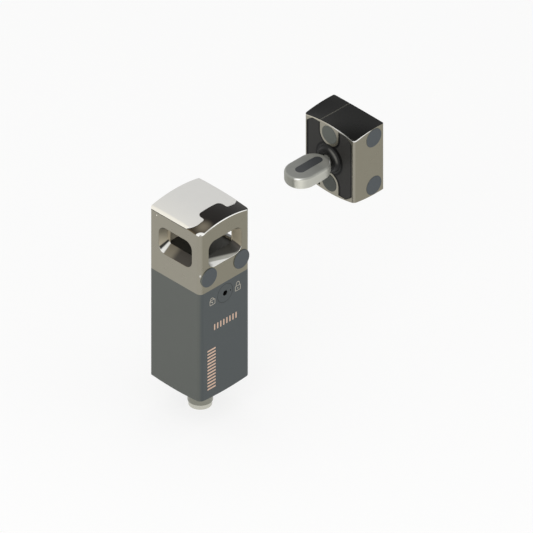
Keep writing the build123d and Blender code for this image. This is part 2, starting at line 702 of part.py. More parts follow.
def release_seal():
    """Round seal in the groove of the release's shaft."""
    groove_z = -RELEASE_DISC_THICKNESS - EASY - RELEASE_SEAL_WIRE
    seal = ring(RELEASE_SHAFT + 2 * RUNNING, RELEASE_SEAL_WIRE, groove_z)
    return SIDES["front"] * Pos(0, RELEASE_Z, 0) * seal


def release_crank():
    """Crank on the shaft's end, whose pin presses the bolt's collar down."""
    pin_end = PLUNGER / 2 + SWIVEL
    back = COLUMN / 2 - CRANK_FACE
    plate = rod(CRANK_PLATE, CRANK_PLATE_THICKNESS, -back)
    plate -= rod(RELEASE_SHAFT, CRANK_PLATE_THICKNESS, -back)
    reach = CRANK_FACE - pin_end
    arm = rod(CRANK_PLATE, CRANK_PLATE_THICKNESS, -back - CRANK_PLATE_THICKNESS)
    pin = Pos(0, CRANK_THROW, 0) * rod(CRANK_PIN, reach, -back - reach)
    return SIDES["front"] * Pos(0, RELEASE_Z, 0) * (plate + arm + pin)


def main_board():
    """Circuit board that slides down between the rails."""
    width = CAVITY - 2 * EASY
    board = extrude(Rectangle(width, BOARD_THICKNESS), BOARD_HEIGHT)
    return AXIS * Pos(0, BOARD_Y, BOARD_Z) * board


def board_chips():
    """Two processors that check each other, and the plug of the connector's wires."""
    face_y = BOARD_Y - BOARD_THICKNESS / 2
    chip = extrude(Rectangle(CHIP_WIDTH, CHIP_THICKNESS), CHIP_WIDTH)
    chip_y = face_y - CHIP_THICKNESS / 2
    chip_z = YOKE_Z - CHIP_DROP
    chips = [AXIS * Pos(side * CHIP_SPACING / 2, chip_y, chip_z) * chip for side in (-1, 1)]
    header = extrude(Rectangle(HEADER_WIDTH, HEADER_DEPTH), HEADER_HEIGHT)
    header_z = BOARD_Z + NUT_THICKNESS + HEADER_RISE
    chips.append(AXIS * Pos(0, face_y - HEADER_DEPTH / 2, header_z) * header)
    return chips


def connector_shell():
    """Threaded connector shell with a collar, a nose and a stem through the body's floor."""
    shell = rod(SHELL_DIAMETER, SHELL_LENGTH, -SHELL_LENGTH)
    shell += rod(NOSE_DIAMETER, NOSE_LENGTH, -SHELL_LENGTH - NOSE_LENGTH)
    shell += rod(STEM_DIAMETER, STEM_LENGTH)
    shell -= rod(MATING_BORE, MATING_DEPTH, -SHELL_LENGTH - NOSE_LENGTH)
    shell -= rod(INSERT_BODY + 2 * SEATED, 2 * SHELL_LENGTH + STEM_LENGTH, -SHELL_LENGTH)
    groove = STEM_DIAMETER + 2 * SHELL_SEAL_WIDTH
    shell -= tube(groove, STEM_DIAMETER, SHELL_SEAL_THICKNESS, -SHELL_SEAL_THICKNESS)
    return AXIS * Pos(0, 0, BASE_Z) * shell


def connector_seal():
    """Flat ring between the collar and the underside."""
    outside = STEM_DIAMETER + 2 * (SHELL_SEAL_WIDTH - SEATED)
    inside = STEM_DIAMETER + 2 * SEATED
    seal = tube(outside, inside, SHELL_SEAL_THICKNESS, -SHELL_SEAL_THICKNESS)
    return AXIS * Pos(0, 0, BASE_Z) * seal


def connector_nut():
    """Thin nut that clamps the connector to the floor from inside."""
    outline = RegularPolygon(NUT_ACROSS / 2, 6, major_radius=False)
    outline -= Circle(STEM_DIAMETER / 2 + SEATED)
    return AXIS * Pos(0, 0, BASE_Z + BODY_FLOOR) * extrude(outline, NUT_THICKNESS)


def contact_places():
    """Seven contacts on a circle and one in the middle."""
    circle = PolarLocations(CONTACT_CIRCLE_DIAMETER / 2, CONTACT_RING_COUNT, start_angle=90)
    return [Location((0, 0, 0))] + list(circle)


def connector_insert():
    """Contact carrier with one hole for each contact."""
    mouth_z = -SHELL_LENGTH - NOSE_LENGTH
    step_z = mouth_z + MATING_DEPTH
    face_z = mouth_z + INSERT_SUNK
    insert = rod(INSERT_NOSE, step_z - face_z, face_z)
    insert += rod(INSERT_BODY, STEM_LENGTH - step_z, step_z)
    hole = rod(CONTACT_DIAMETER, STEM_LENGTH - face_z, face_z)
    for place in contact_places():
        insert -= Pos(place.position) * hole
    return AXIS * Pos(0, 0, BASE_Z) * insert


def connector_contacts():
    """Hollow contacts with solder tails inside the body."""
    face_z = -SHELL_LENGTH - NOSE_LENGTH + INSERT_SUNK
    length = STEM_LENGTH - face_z + CONTACT_TAIL
    contact = rod(CONTACT_DIAMETER, length, face_z)
    contact -= rod(CONTACT_BORE, MATING_DEPTH, face_z)
    return [AXIS * Pos(0, 0, BASE_Z) * Pos(place.position) * contact for place in contact_places()]


def block_section(depth, height, arch):
    """Section across the block, with an arched top and bottom."""
    side = BLOCK_WIDTH / 2 + CUT_PAST
    crown = height / 2
    shoulder = crown - arch + (arch ** 2 - side ** 2) ** 0.5
    top = ThreePointArc((side, shoulder), (0, crown), (-side, shoulder))
    left = Line((-side, shoulder), (-side, -shoulder))
    bottom = ThreePointArc((-side, -shoulder), (0, -crown), (side, -shoulder))
    right = Line((side, -shoulder), (side, shoulder))
    return BLOCK_FACE * Pos(0, 0, -depth) * make_face([top, left, bottom, right])


def block_crown(lowered=0):
    """Form that gives the block its top and bottom, arched most at the face."""
    return loft([
        block_section(0, BLOCK_HEIGHT - 2 * lowered, FACE_ARCH),
        block_section(WAIST_DEPTH, WAIST_HEIGHT - 2 * lowered, WAIST_ARCH),
        block_section(BLOCK_DEPTH, BACK_HEIGHT - 2 * lowered, BACK_ARCH),
    ])


def block_fixing_places(plane):
    """Centres of the two fixing holes above and below the tongue."""
    return [plane * Pos(0, side * BLOCK_FIXING_SPACING / 2, 0) for side in (-1, 1)]


def face_outline():
    """Field inside the block's steel rim, less the bosses round the plugs and the socket."""
    field = RectangleRounded(INSERT_WIDTH, BLOCK_HEIGHT - BLOCK_WIDTH + INSERT_WIDTH, INSERT_CORNER)
    field &= Circle(INSERT_RADIUS)
    for side in (-1, 1):
        centre = side * BLOCK_FIXING_SPACING / 2
        field -= Pos(0, centre) * Circle(PLUG_BOSS / 2)
        bridge = Rectangle(PLUG_BOSS, BLOCK_WIDTH / 2)
        field -= Pos(0, centre + side * BLOCK_WIDTH / 4) * bridge
    return field


def actuator_block():
    """Steel block with fixing holes from its front and from its side."""
    outline = Rectangle(BLOCK_DEPTH, BLOCK_WIDTH)
    outline = fillet(outline.vertices().sort_by(Axis.X)[:2], BLOCK_FRONT_CORNER)
    outline = fillet(outline.vertices().sort_by(Axis.X)[-2:], BLOCK_BACK_CORNER)
    blank = Pos(BLOCK_DEPTH / 2, 0, -BLOCK_HEIGHT / 2) * extrude(outline, BLOCK_HEIGHT)
    block = (ACTUATOR * blank) & block_crown()

    block -= BLOCK_FACE * Pos(0, 0, -INSERT_RECESS) * extrude(face_outline(), INSERT_RECESS)
    flange_seat = CAP_FLANGE_THICKNESS + EASY
    block -= BLOCK_FACE * rod(CAP_FLANGE + 2 * EASY, flange_seat, -flange_seat)
    block -= BLOCK_FACE * rod(LINER_DIAMETER + 2 * RUNNING, SOCKET_BORE_DEPTH, -SOCKET_BORE_DEPTH)

    front_bore = FRONT_PLUG + 2 * SEATED
    side_bore = SIDE_PLUG + 2 * SEATED
    front_hole = counterbored(BLOCK_FIXING_HOLE, front_bore, BLOCK_FIXING_SEAT, BLOCK_DEPTH)
    side_hole = counterbored(BLOCK_FIXING_HOLE, side_bore, BLOCK_FIXING_SEAT, BLOCK_WIDTH)
    for place in block_fixing_places(BLOCK_FACE):
        block -= place * front_hole
    for place in block_fixing_places(BLOCK_SIDE):
        block -= place * side_hole

    rule = Pos(0, RULE_SIDE, 0) * Box(2 * BLOCK_DEPTH, RULE_WIDTH, BLOCK_HEIGHT)
    rule &= Pos(0, 0, BLOCK_HEIGHT / 2) * Box(4 * BLOCK_DEPTH, BLOCK_WIDTH, BLOCK_HEIGHT)
    block -= ACTUATOR * rule - block_crown(RULE_DEPTH)
    return block


def face_inserts():
    """Two plastic plates let into the block's face."""
    outline = offset(face_outline() - Circle(CAP_FLANGE / 2), -EASY)
    plate = BLOCK_FACE * Pos(0, 0, -INSERT_RECESS) * extrude(outline, INSERT_THICKNESS)
    return plate.solids()


def front_plugs():
    """Covers of the fixing holes in the block's face."""
    cover = plug(FRONT_PLUG, BLOCK_PLUG_PROUD)
    return [place * cover for place in block_fixing_places(BLOCK_FACE)]


def side_plugs():
    """Covers of the fixing holes in the block's side."""
    cover = plug(SIDE_PLUG, BLOCK_PLUG_PROUD)
    return [place * cover for place in block_fixing_places(BLOCK_SIDE)]


def ball_shell(outside, inside):
    """Hollow sphere round the pivot, in the frame of the block's face."""
    return Pos(0, 0, -BALL_SETBACK) * (Sphere(outside / 2) - Sphere(inside / 2))


def socket_cap():
    """Domed ring that holds the ball and its liner in the block."""
    inside = LINER_DIAMETER + 2 * RUNNING
    dome_part = ball_shell(CAP_DOME, inside) & rod(CAP_FLANGE, CAP_HEIGHT)
    flange = rod(CAP_FLANGE, CAP_FLANGE_THICKNESS, -CAP_FLANGE_THICKNESS)
    flange -= Pos(0, 0, -BALL_SETBACK) * Sphere(inside / 2)
    return BLOCK_FACE * (dome_part + flange)


def cap_opening():
    """Radius of the hole in the cap's end."""
    inside = LINER_DIAMETER / 2 + RUNNING
    reach = BALL_SETBACK + CAP_HEIGHT
    return (inside ** 2 - reach ** 2) ** 0.5


def socket_boot():
    """Rubber ring that closes the gap round the neck."""
    outside = 2 * (cap_opening() - SEATED)
    boot = tube(outside, outside - 2 * BOOT_WALL, BOOT_REST, CAP_HEIGHT - BOOT_REST)
    return BLOCK_FACE * boot


def ball_liner():
    """Split liner in which the tongue tilts and which turns with it from side to side."""
    liner = ball_shell(LINER_DIAMETER, BALL + 2 * RUNNING)
    liner &= rod(LINER_DIAMETER, LINER_WIDTH, -BALL_SETBACK - LINER_WIDTH / 2)
    return BLOCK_FACE * liner


def centring_pad():
    """Rubber pad that cups the back of the ball and brings the tongue back to centre."""
    gap_z = -BALL_SETBACK - LINER_WIDTH / 2 - 2 * SWIVEL
    pad = rod(LINER_DIAMETER, SOCKET_BORE_DEPTH + gap_z, -SOCKET_BORE_DEPTH)
    pad -= Pos(0, 0, -BALL_SETBACK) * Sphere(BALL / 2 + 2 * RUNNING)
    return BLOCK_FACE * pad


def tongue():
    """Oval tongue with its neck and ball, the transponder's recess and the bolt's pocket."""
    length = TONGUE_REACH - TONGUE_ROOT
    middle = -(TONGUE_REACH + TONGUE_ROOT) / 2
    oval = extrude(SlotOverall(length, TONGUE_WIDTH), TONGUE_THICKNESS)
    oval = Pos(middle, 0, -TONGUE_THICKNESS / 2) * oval
    oval = fillet(oval.faces().filter_by(Axis.Z).edges(), TONGUE_EDGE)
    neck_length = BALL_SETBACK + TONGUE_ROOT + TONGUE_WIDTH / 4
    stem = rod(NECK, neck_length)
    pin = oval + Pos(BALL_SETBACK, 0, 0) * (Rot(0, -90, 0) * stem + Sphere(BALL / 2))
    recess = extrude(SlotOverall(INLAY_LENGTH, INLAY_WIDTH), INLAY_DEPTH)
    recess_x = -INLAY_START - INLAY_LENGTH / 2
    pin -= Pos(recess_x, 0, TONGUE_THICKNESS / 2 - INLAY_DEPTH) * recess
    pin -= Pos(-LOCK_REACH, 0, 0) * rod(LOCK_POCKET, LOCK_POCKET_DEPTH, -TONGUE_THICKNESS / 2)
    return ACTUATOR * pin


def transponder():
    """Coded transponder potted into the tongue."""
    inlay = extrude(
        SlotOverall(INLAY_LENGTH - 2 * SEATED, INLAY_WIDTH - 2 * SEATED),
        INLAY_DEPTH,
    )
    x = -INLAY_START - INLAY_LENGTH / 2
    return ACTUATOR * Pos(x, 0, TONGUE_THICKNESS / 2 - INLAY_DEPTH) * inlay


NODES = {
    "head_housing": head_housing,
    "head_base": head_base,
    "status_lens": status_lens,
    "lens_seal": lens_seal,
    "lens_pins": lens_pins,
    "board_spacer": board_spacer,
    "led_board": led_board,
    "status_leds": status_leds,
    "reader_window": reader_window,
    "antenna_board": antenna_board,
    "antenna_coil": antenna_coil,
    "head_gasket": head_gasket,
    "fixing_plugs": fixing_plugs,
    "bolt_bush": bolt_bush,
    "bolt_wiper": bolt_wiper,
    "lock_bolt": lock_bolt,
    "plunger": plunger,
    "lock_spring": lock_spring,
    "solenoid_yoke": solenoid_yoke,
    "coil_bobbin": coil_bobbin,
    "coil_winding": coil_winding,
    "yoke_standoffs": yoke_standoffs,
    "body_housing": body_housing,
    "release_disc": release_disc,
    "release_seal": release_seal,
    "release_crank": release_crank,
    "main_board": main_board,
    "board_chips": board_chips,
    "connector_shell": connector_shell,
    "connector_seal": connector_seal,
    "connector_nut": connector_nut,
    "connector_insert": connector_insert,
    "connector_contacts": connector_contacts,
    "actuator_block": actuator_block,
    "face_inserts": face_inserts,
    "front_plugs": front_plugs,
    "side_plugs": side_plugs,
    "socket_cap": socket_cap,
    "socket_boot": socket_boot,
    "ball_liner": ball_liner,
    "centring_pad": centring_pad,
    "tongue": tongue,
    "transponder": transponder,
}

os.makedirs("parts", exist_ok=True)
for name, make in NODES.items():
    piece = make()
    if isinstance(piece, list):
        piece = Compound(children=piece)
    export_step(piece, f"parts/{name}.step")
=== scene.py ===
import math

import bpy
from bpy.props import FloatProperty, FloatVectorProperty, IntProperty, PointerProperty
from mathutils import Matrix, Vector


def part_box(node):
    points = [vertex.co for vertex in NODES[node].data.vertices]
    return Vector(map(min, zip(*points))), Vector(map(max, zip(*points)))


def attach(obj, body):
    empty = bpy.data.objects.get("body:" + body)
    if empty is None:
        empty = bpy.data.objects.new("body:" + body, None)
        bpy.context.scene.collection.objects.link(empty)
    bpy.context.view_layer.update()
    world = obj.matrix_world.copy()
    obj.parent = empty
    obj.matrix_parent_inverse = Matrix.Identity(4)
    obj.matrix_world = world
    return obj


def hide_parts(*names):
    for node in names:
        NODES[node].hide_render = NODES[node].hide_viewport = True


bl_info = {
    "name": "Safety interlock switch",
    "version": (1, 0, 0),
    "blender": (4, 5, 0),
    "location": "3D View > Sidebar > Interlock",
    "description": "Finishes, marks and studio for a square interlock switch and its actuator",
    "category": "Object",
}

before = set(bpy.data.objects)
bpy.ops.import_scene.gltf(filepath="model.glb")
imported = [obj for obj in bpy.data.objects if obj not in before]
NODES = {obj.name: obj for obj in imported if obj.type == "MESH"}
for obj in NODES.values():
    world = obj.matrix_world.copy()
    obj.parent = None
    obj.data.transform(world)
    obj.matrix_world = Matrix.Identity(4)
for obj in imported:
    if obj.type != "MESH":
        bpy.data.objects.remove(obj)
MM = 0.001

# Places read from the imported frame, in millimetres
BODY_LOW, BODY_HIGH = (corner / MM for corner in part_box("body_housing"))
HEAD_LOW, HEAD_HIGH = (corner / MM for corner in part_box("head_housing"))
BLOCK_LOW, BLOCK_HIGH = (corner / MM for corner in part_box("actuator_block"))
CAP_LOW, CAP_HIGH = (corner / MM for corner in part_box("socket_cap"))
DISC_LOW, DISC_HIGH = (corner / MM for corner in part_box("release_disc"))
SHELL_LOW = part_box("connector_shell")[0] / MM
AXIS_Y = (BODY_LOW.y + BODY_HIGH.y) / 2
PASSAGE_Z = (CAP_LOW.z + CAP_HIGH.z) / 2
RELEASE_Z = (DISC_LOW.z + DISC_HIGH.z) / 2
FRONT_Y = BODY_LOW.y

# Shape of the head, in millimetres
MOUTH_HALF_WIDTH = 13.8
MOUTH_HALF_HEIGHT = 9.6
# Height of the painted glint spot on the front left corner.
CORNER_GLINT_Z = 3.4    # bright point on the front left corner, beside the plug

# Shape of the actuator's block, in millimetres
FACE_DROP = 2.5         # fall of the face's upper edge from its middle to its ends
SIDE_RISE = 1.5         # rise of the side's upper edge behind the face
RULE_SIDE = 7.4         # engraved line on top, behind the middle
PLUG_BOSS_RADIUS = 7.35
PLUG_RISE = 16.5        # fixing plugs above and below the tongue's axis
PLATE_REACH = 18.2
CAP_RADIUS = (CAP_HIGH.y - CAP_LOW.y) / 2
# Width of the painted shade in the seams round each plate.
SEAM_SHADE_WIDTH = 1.5              # dark line inside the edge of each plate

# Direction of the view that the steel's painted reflections are worked out for: the painted sky is
# bright in front of it and dark behind it
LOOK = Vector((-1, -1, 1)).normalized()


def tone(red, green, blue):
    """Linear colour from the 0 to 255 levels that a colour picker shows."""
    levels = (value / 255 for value in (red, green, blue))
    return tuple(v / 12.92 if v <= 0.04045 else ((v + 0.055) / 1.055) ** 2.4 for v in levels)


def picked(name, description, red, green, blue):
    """Colour property with the given default."""
    return FloatVectorProperty(
        name=name,
        description=description,
        subtype="COLOR",
        size=3,
        min=0,
        max=1,
        default=tone(red, green, blue),
    )


def length(name, description, millimetres):
    """Length property with the given default."""
    return FloatProperty(
        name=name,
        description=description,
        subtype="DISTANCE",
        unit="LENGTH",
        default=millimetres * MM,
        precision=5,
    )


class InterlockColours(bpy.types.PropertyGroup):
    """Colours of the finishes."""

    # Painted reflections: the steel colours below are what polished steel shows where it faces each
    # way, with a painted glint.
    steel_reflection_left: picked("Steel, left", "Polished steel that looks left", 152, 148, 135)
    steel_reflection_right: picked("Steel, right", "Polished steel that looks to the front", 134, 130, 115)
    steel_reflection_dark_sky: picked("Steel, dark sky", "Polished steel that looks up and back", 38, 36, 34)
    steel_reflection_warm_sky: picked("Steel, warm sky", "Polished steel that looks up and left", 92, 82, 64)
    steel_painted_glint: picked("Steel, glint", "Polished steel that looks up and forward", 238, 238, 234)
    # Painted shade and reflection: colour of the walls deep in the head's passages.
    steel_chamber_shade: picked("Steel, chamber", "Walls of the passages inside the head", 76, 75, 67)
    # Painted light: lit and shaded copies of the body moulding, for surfaces that face left and to the
    # front.
    body_left: picked("Body, left", "Dark grey moulding that looks left", 90, 93, 89)
    body_front: picked("Body, front", "Dark grey moulding that looks to the front", 75, 80, 81)
    lens: picked("Lens", "White plastic of the status lens", 213, 212, 208)
    # Painted light: the lens's paler colour where it faces left.
    lens_lit_side: picked("Lens edge", "Edge strip of the lens", 236, 232, 220)
    # Painted light: lit and shaded copies of the plug plastic, for surfaces that face left and to the
    # front.
    plug_lit_left: picked("Plugs, left", "Blue-grey plastic that looks left", 93, 96, 91)
    plug_shaded_front: picked("Plugs, front", "Blue-grey plastic that looks to the front", 75, 80, 83)
    insert: picked("Face plates", "Dark plastic of the actuator's face", 46, 45, 43)
    black: picked("Black plastic", "Ring round the tongue's neck", 20, 20, 19)
    rubber: picked("Rubber", "Seals and the neck's boot", 24, 24, 23)
    tongue: picked("Tongue", "Ground steel of the tongue's faces", 126, 127, 122)
    tongue_side_reflection: picked("Tongue, side", "Side of the tongue that looks to the front", 184, 184, 175)
    # Painted reflection: the bright colour of the tongue's side that faces the front.
    mark: picked("Marks", "Printed marks on the body", 206, 176, 156)
    sign: picked("Padlock signs", "Printed signs beside the release", 176, 170, 158)
    nickel: picked("Nickel", "Connector shell", 142, 142, 132)
    nickel_nose: picked("Nickel, nose", "Lower ring of the connector", 204, 203, 192)
    floor: picked("Floor", "Studio floor", 252, 252, 251)


class InterlockSizes(bpy.types.PropertyGroup):
    """Sizes of the printed marks and of the neck's boot."""

    print_height: length("Print height", "How far print stands above the body", 0.03)
    sign_offset: length("Sign offset", "From the release's axis to a padlock's middle", 10.2)
    sign_width: length("Sign width", "Width of a padlock's case", 4.4)
    sign_height: length("Sign height", "Height of a padlock's case", 3.6)
    sign_stroke: length("Sign stroke", "Line width of the signs", 0.38)
    tick_width: length("Tick width", "Width of an upright tick", 0.95)
    tick_height: length("Tick height", "Height of an upright tick", 4.1)
    tick_pitch: length("Tick pitch", "Spacing of the upright ticks", 2.45)
    tick_count: IntProperty(name="Ticks", description="Number of upright ticks", default=8, min=1)
    rung_width: length("Rung width", "Width of a rung of the plain scale", 6.6)
    rung_height: length("Rung height", "Height of a rung of the plain scale", 1.05)
    rung_pitch: length("Rung pitch", "Spacing of the rungs", 2.2)
    rung_count: IntProperty(name="Rungs", description="Number of rungs", default=13, min=1)
    boot_outside: length("Boot outside", "Outer radius of the neck's boot", 6.7)
    boot_inside: length("Boot inside", "Inner radius of the neck's boot", 3.65)
    boot_rib: length("Rib height", "Height of the boot's ribs", 0.14)
    boot_ribs: IntProperty(name="Ribs", description="Ribs of the neck's boot", default=4, min=1)


class InterlockStudio(bpy.types.PropertyGroup):
    """Lamps, floor and camera."""

    key_power: FloatProperty(
        name="Key lamp", description="Power of the soft lamp on the left", unit="POWER", default=2.6)
    fill_power: FloatProperty(
        name="Fill lamp", description="Power of the soft lamp in front", unit="POWER", default=0.9)
    ambient: FloatProperty(
        name="Ambient", description="Strength of the even light from all sides", default=0.78)
    whiteness: FloatProperty(
        name="Whiteness",
        description="Share of plain white in the floor that the camera sees",
        default=0.75,
    )
    view_width: length("View width", "Width that the camera sees", 302.6)
    floor_size: length("Floor size", "Side of the floor", 5000)


class Wire:
    """Output of a shader node, so that shader maths reads as sums."""

    def __init__(self, finish, socket):
        self.finish = finish
        self.socket = socket

    def _maths(self, operation, first, second):
        return self.finish.node("ShaderNodeMath", {"operation": operation}, {0: first, 1: second})

    def __add__(self, other):
        return self._maths("ADD", self, other)

    def __radd__(self, other):
        return self._maths("ADD", other, self)

    def __sub__(self, other):
        return self._maths("SUBTRACT", self, other)

    def __rsub__(self, other):
        return self._maths("SUBTRACT", other, self)

    def __mul__(self, other):
        return self._maths("MULTIPLY", self, other)

    def __rmul__(self, other):
        return self._maths("MULTIPLY", other, self)

    def __pow__(self, other):
        return self._maths("POWER", self, other)

    def __abs__(self):
        return self._maths("ABSOLUTE", self, 0.0)


class Finish:
    """Procedural material made of nodes."""

    def __init__(self, name, **constants):
        self.material = bpy.data.materials.new(name)
        self.material.use_nodes = True
        self.tree = self.material.node_tree
        self.tree.nodes.clear()
        self.shader = self.node("ShaderNodeBsdfPrincipled").socket.node
        output = self.tree.nodes.new("ShaderNodeOutputMaterial")
        self.tree.links.new(self.shader.outputs[0], output.inputs[0])
        for socket, value in constants.items():
            self.shader.inputs[socket.replace("_", " ")].default_value = value

    def node(self, kind, settings=None, sockets=None, out=0):
        """Adds a node, makes its settings, fills its sockets and gives the chosen output."""
        made = self.tree.nodes.new(kind)
        for name, value in (settings or {}).items():
            if name == "stops":
                elements = made.color_ramp.elements
                elements[0].position, elements[0].color = value[0]
                elements[1].position, elements[1].color = value[-1]
                for position, colour in value[1:-1]:
                    elements.new(position).color = colour
            else:
                setattr(made, name, value)
        for key, value in (sockets or {}).items():
            if isinstance(value, Wire):
                self.tree.links.new(value.socket, made.inputs[key])
            else:
                made.inputs[key].default_value = value
        return Wire(self, made.outputs[out])

    def set(self, **wires):
        """Links wires to the shader, or sets plain values."""
        for name, value in wires.items():
            socket = self.shader.inputs[name.replace("_", " ")]
            if isinstance(value, Wire):
                self.tree.links.new(value.socket, socket)
            else:
                socket.default_value = value
        return self

    def place(self):
        """Place on the object in millimetres, as three wires."""
        point = self.node("ShaderNodeTexCoord", out=3)
        return self.parts(self.scaled(point, 1 / MM))

    def facing(self):
        """Direction in which the surface looks, as one vector wire."""
        return self.node("ShaderNodeTexCoord", out=1)

    def outward(self):
        """How far the surface looks left, to the front and up, as three wires."""
        facing = self.facing()
        return [self.dot(facing, way) for way in ((-1, 0, 0), (0, -1, 0), (0, 0, 1))]

    def base(self):
        """The wire that feeds the base colour."""
        return Wire(self, self.shader.inputs["Base Color"].links[0].from_socket)

    def parts(self, vector):
        """The three parts of a vector wire."""
        split = self.node("ShaderNodeSeparateXYZ", None, {0: vector}).socket.node
        return [Wire(self, socket) for socket in split.outputs]

    def dot(self, vector, direction):
        """How far a vector wire points in a fixed direction."""
        return self.node(
            "ShaderNodeVectorMath", {"operation": "DOT_PRODUCT"}, {0: vector, 1: direction}, out=1)

    def scaled(self, vector, amount):
        """A vector or colour wire times an amount."""
        return self.node(
            "ShaderNodeVectorMath", {"operation": "SCALE"}, {0: vector, "Scale": amount})

    def sine(self, value):
        """Sine of a wire."""
        return self.node("ShaderNodeMath", {"operation": "SINE"}, {0: value})

    def lines(self, value, spacing):
        """Lines from -1 to 1 across a wire, with their spacing in millimetres."""
        return self.sine(value * (2 * math.pi / spacing))

    def rise(self, value, low, high):
        """Mask that grows smoothly from 0 at low to 1 at high."""
        return self.node(
            "ShaderNodeMapRange",
            {"interpolation_type": "SMOOTHSTEP"},
            {0: value, 1: float(low), 2: float(high), 3: 0.0, 4: 1.0},
        )

    def mix(self, mask, first, second):
        """Colour that goes from first to second with the mask."""
        first, second = (
            c if isinstance(c, Wire) else (*c[:3], 1.0) for c in (first, second))
        return self.node(
            "ShaderNodeMix", {"data_type": "RGBA"}, {0: mask, 6: first, 7: second}, out=2)

    def shade(self, colour, amount):
        """Colour times an amount that varies over the surface."""
        if not isinstance(colour, Wire):
            colour = self.mix(0.0, colour, colour)
        return self.scaled(colour, amount)

    def noise(self, size, detail=2.0, stretch=(1, 1, 1)):
        """Noise from 0 to 1 with features of the given size in millimetres."""
        point = self.node("ShaderNodeTexCoord", out=3)
        scale = tuple(s / (size * MM) for s in stretch)
        mapped = self.node("ShaderNodeMapping", None, {0: point, "Scale": scale})
        return self.node("ShaderNodeTexNoise", None, {0: mapped, "Scale": 1.0, "Detail": detail})

    def bump(self, height, strength, depth):
        """Normal that follows a height, with its depth in millimetres."""
        return self.node(
            "ShaderNodeBump", None, {"Strength": strength, "Distance": depth * MM, "Height": height})

    def radius(self, *offsets):
        """Distance from an axis, from the offsets along two directions."""
        return (offsets[0] * offsets[0] + offsets[1] * offsets[1]) ** 0.5

    def greater(self, first, second):
        """The greater of two wires."""
        return self.node("ShaderNodeMath", {"operation": "MAXIMUM"}, {0: first, 1: second})

    def painted_side_light(self, left, front):
        """Painted light: colour that goes from the lit left colour to the shaded front colour as the
        surface turns from left to front.
        """
        return self.mix(self.rise(self.dot(self.facing(), (1, -1, 0)), -0.6, 0.6), left, front)


def colours():
    """Colours that the panel shows."""
    return bpy.context.scene.interlock_colours


def sizes():
    """Sizes that the panel shows."""
    return bpy.context.scene.interlock_sizes


def dress(finish, *nodes):
    """Gives CAD nodes a finish."""
    for name in nodes:
        for slot in NODES[name].material_slots:
            slot.material = finish.material


def painted_sky_reflection(finish):
    """Painted reflection: colour of polished steel from the bright and dark sky that its surface looks
    back at.
    """
    c = colours()
    facing = finish.facing()
    doubled = finish.dot(facing, LOOK) * 2.0
    mirrored = finish.scaled(facing, doubled)
    back = finish.node("ShaderNodeVectorMath", {"operation": "SUBTRACT"}, {0: mirrored, 1: LOOK})
    x, y, z = finish.parts(back)
    ground = finish.mix(finish.rise(x, -0.55, 0.55), c.steel_reflection_left, c.steel_reflection_right)
    dark = finish.mix(finish.rise(x, -0.45, 0.5), c.steel_reflection_warm_sky, c.steel_reflection_dark_sky)
    sky = finish.mix(finish.rise(y, 0.15, -0.2), dark, c.steel_painted_glint)
    return finish.mix(finish.rise(z, -0.12, 0.2), ground, sky)


def polished_steel(name):
    """Cast steel, polished, with faint mottling, and painted reflections in its colour."""
    finish = Finish(name, Metallic=1.0)
    mottle = finish.noise(5.0, 3.0)
    grain = finish.noise(0.5, 2.0)
    amount = 0.95 + 0.07 * mottle + 0.04 * grain
    finish.set(
        Base_Color=finish.shade(painted_sky_reflection(finish), amount),
        Roughness=0.24 + 0.1 * mottle,
        Normal=finish.bump(grain, 0.12, 0.01),
    )
    return finish


def plastic(name, colour, roughness=0.5, grain_size=0.25, depth=0.012, front=None):
    """Moulded plastic with a fine eroded texture, and with lit and shaded sides painted in if a front
    colour is given.
    """
    finish = Finish(name, Specular_IOR_Level=0.2)
    if front:
        colour = finish.painted_side_light(colour, front)
    grain = finish.noise(grain_size, 2.0)
    cloud = finish.noise(9.0, 2.0)
    finish.set(
        Base_Color=finish.shade(colour, 0.95 + 0.06 * grain + 0.04 * cloud),
        Roughness=roughness + 0.08 * grain,
        Normal=finish.bump(grain, 0.35, depth),
    )
    return finish


def turned_metal(name, colour, roughness=0.25, spacing=0.16, axis=2):
    """Turned metal, with fine tool lines across one axis."""
    finish = Finish(name, Metallic=1.0)
    place = finish.place()
    lines = finish.lines(place[axis], spacing)
    cloud = finish.noise(3.0, 2.0)
    finish.set(
        Base_Color=finish.shade(colour, 0.94 + 0.03 * lines + 0.06 * cloud),
        Roughness=roughness + 0.06 * cloud,
        Normal=finish.bump(lines, 0.15, 0.01),
    )
    return finish


def start_object(add, name, **settings):
    """Adds a primitive with nothing else selected and gives it a name."""
    if bpy.context.object and bpy.context.object.mode != "OBJECT":
        bpy.ops.object.mode_set(mode="OBJECT")
    bpy.ops.object.select_all(action="DESELECT")
    add(**settings)
    piece = bpy.context.object
    piece.name = name
    piece.data.name = name
    return piece


def edit(select="SELECT"):
    """Goes into edit mode with all or nothing selected."""
    bpy.ops.object.mode_set(mode="EDIT")
    bpy.ops.mesh.select_mode(type="VERT")
    bpy.ops.mesh.select_all(action=select)


def pick(piece, kind, test):
    """Selects the vertices, edges or faces that pass a test, in edit mode."""
    bpy.ops.mesh.select_all(action="DESELECT")
    bpy.ops.object.mode_set(mode="OBJECT")
    for element in getattr(piece.data, kind):
        element.select = test(element)
    bpy.ops.object.mode_set(mode="EDIT")


def settle(piece, smooth=None):
    """Applies the piece's place to its mesh, makes its normals face outwards and smooths it."""
    if piece.mode != "EDIT":
        edit()
    bpy.ops.mesh.select_all(action="SELECT")
    bpy.ops.mesh.remove_doubles(threshold=1e-7)
    bpy.ops.mesh.normals_make_consistent(inside=False)
    bpy.ops.object.mode_set(mode="OBJECT")
    bpy.ops.object.transform_apply(location=True, rotation=True, scale=True)
    if smooth is not None:
        bpy.ops.object.shade_smooth_by_angle(angle=math.radians(smooth))


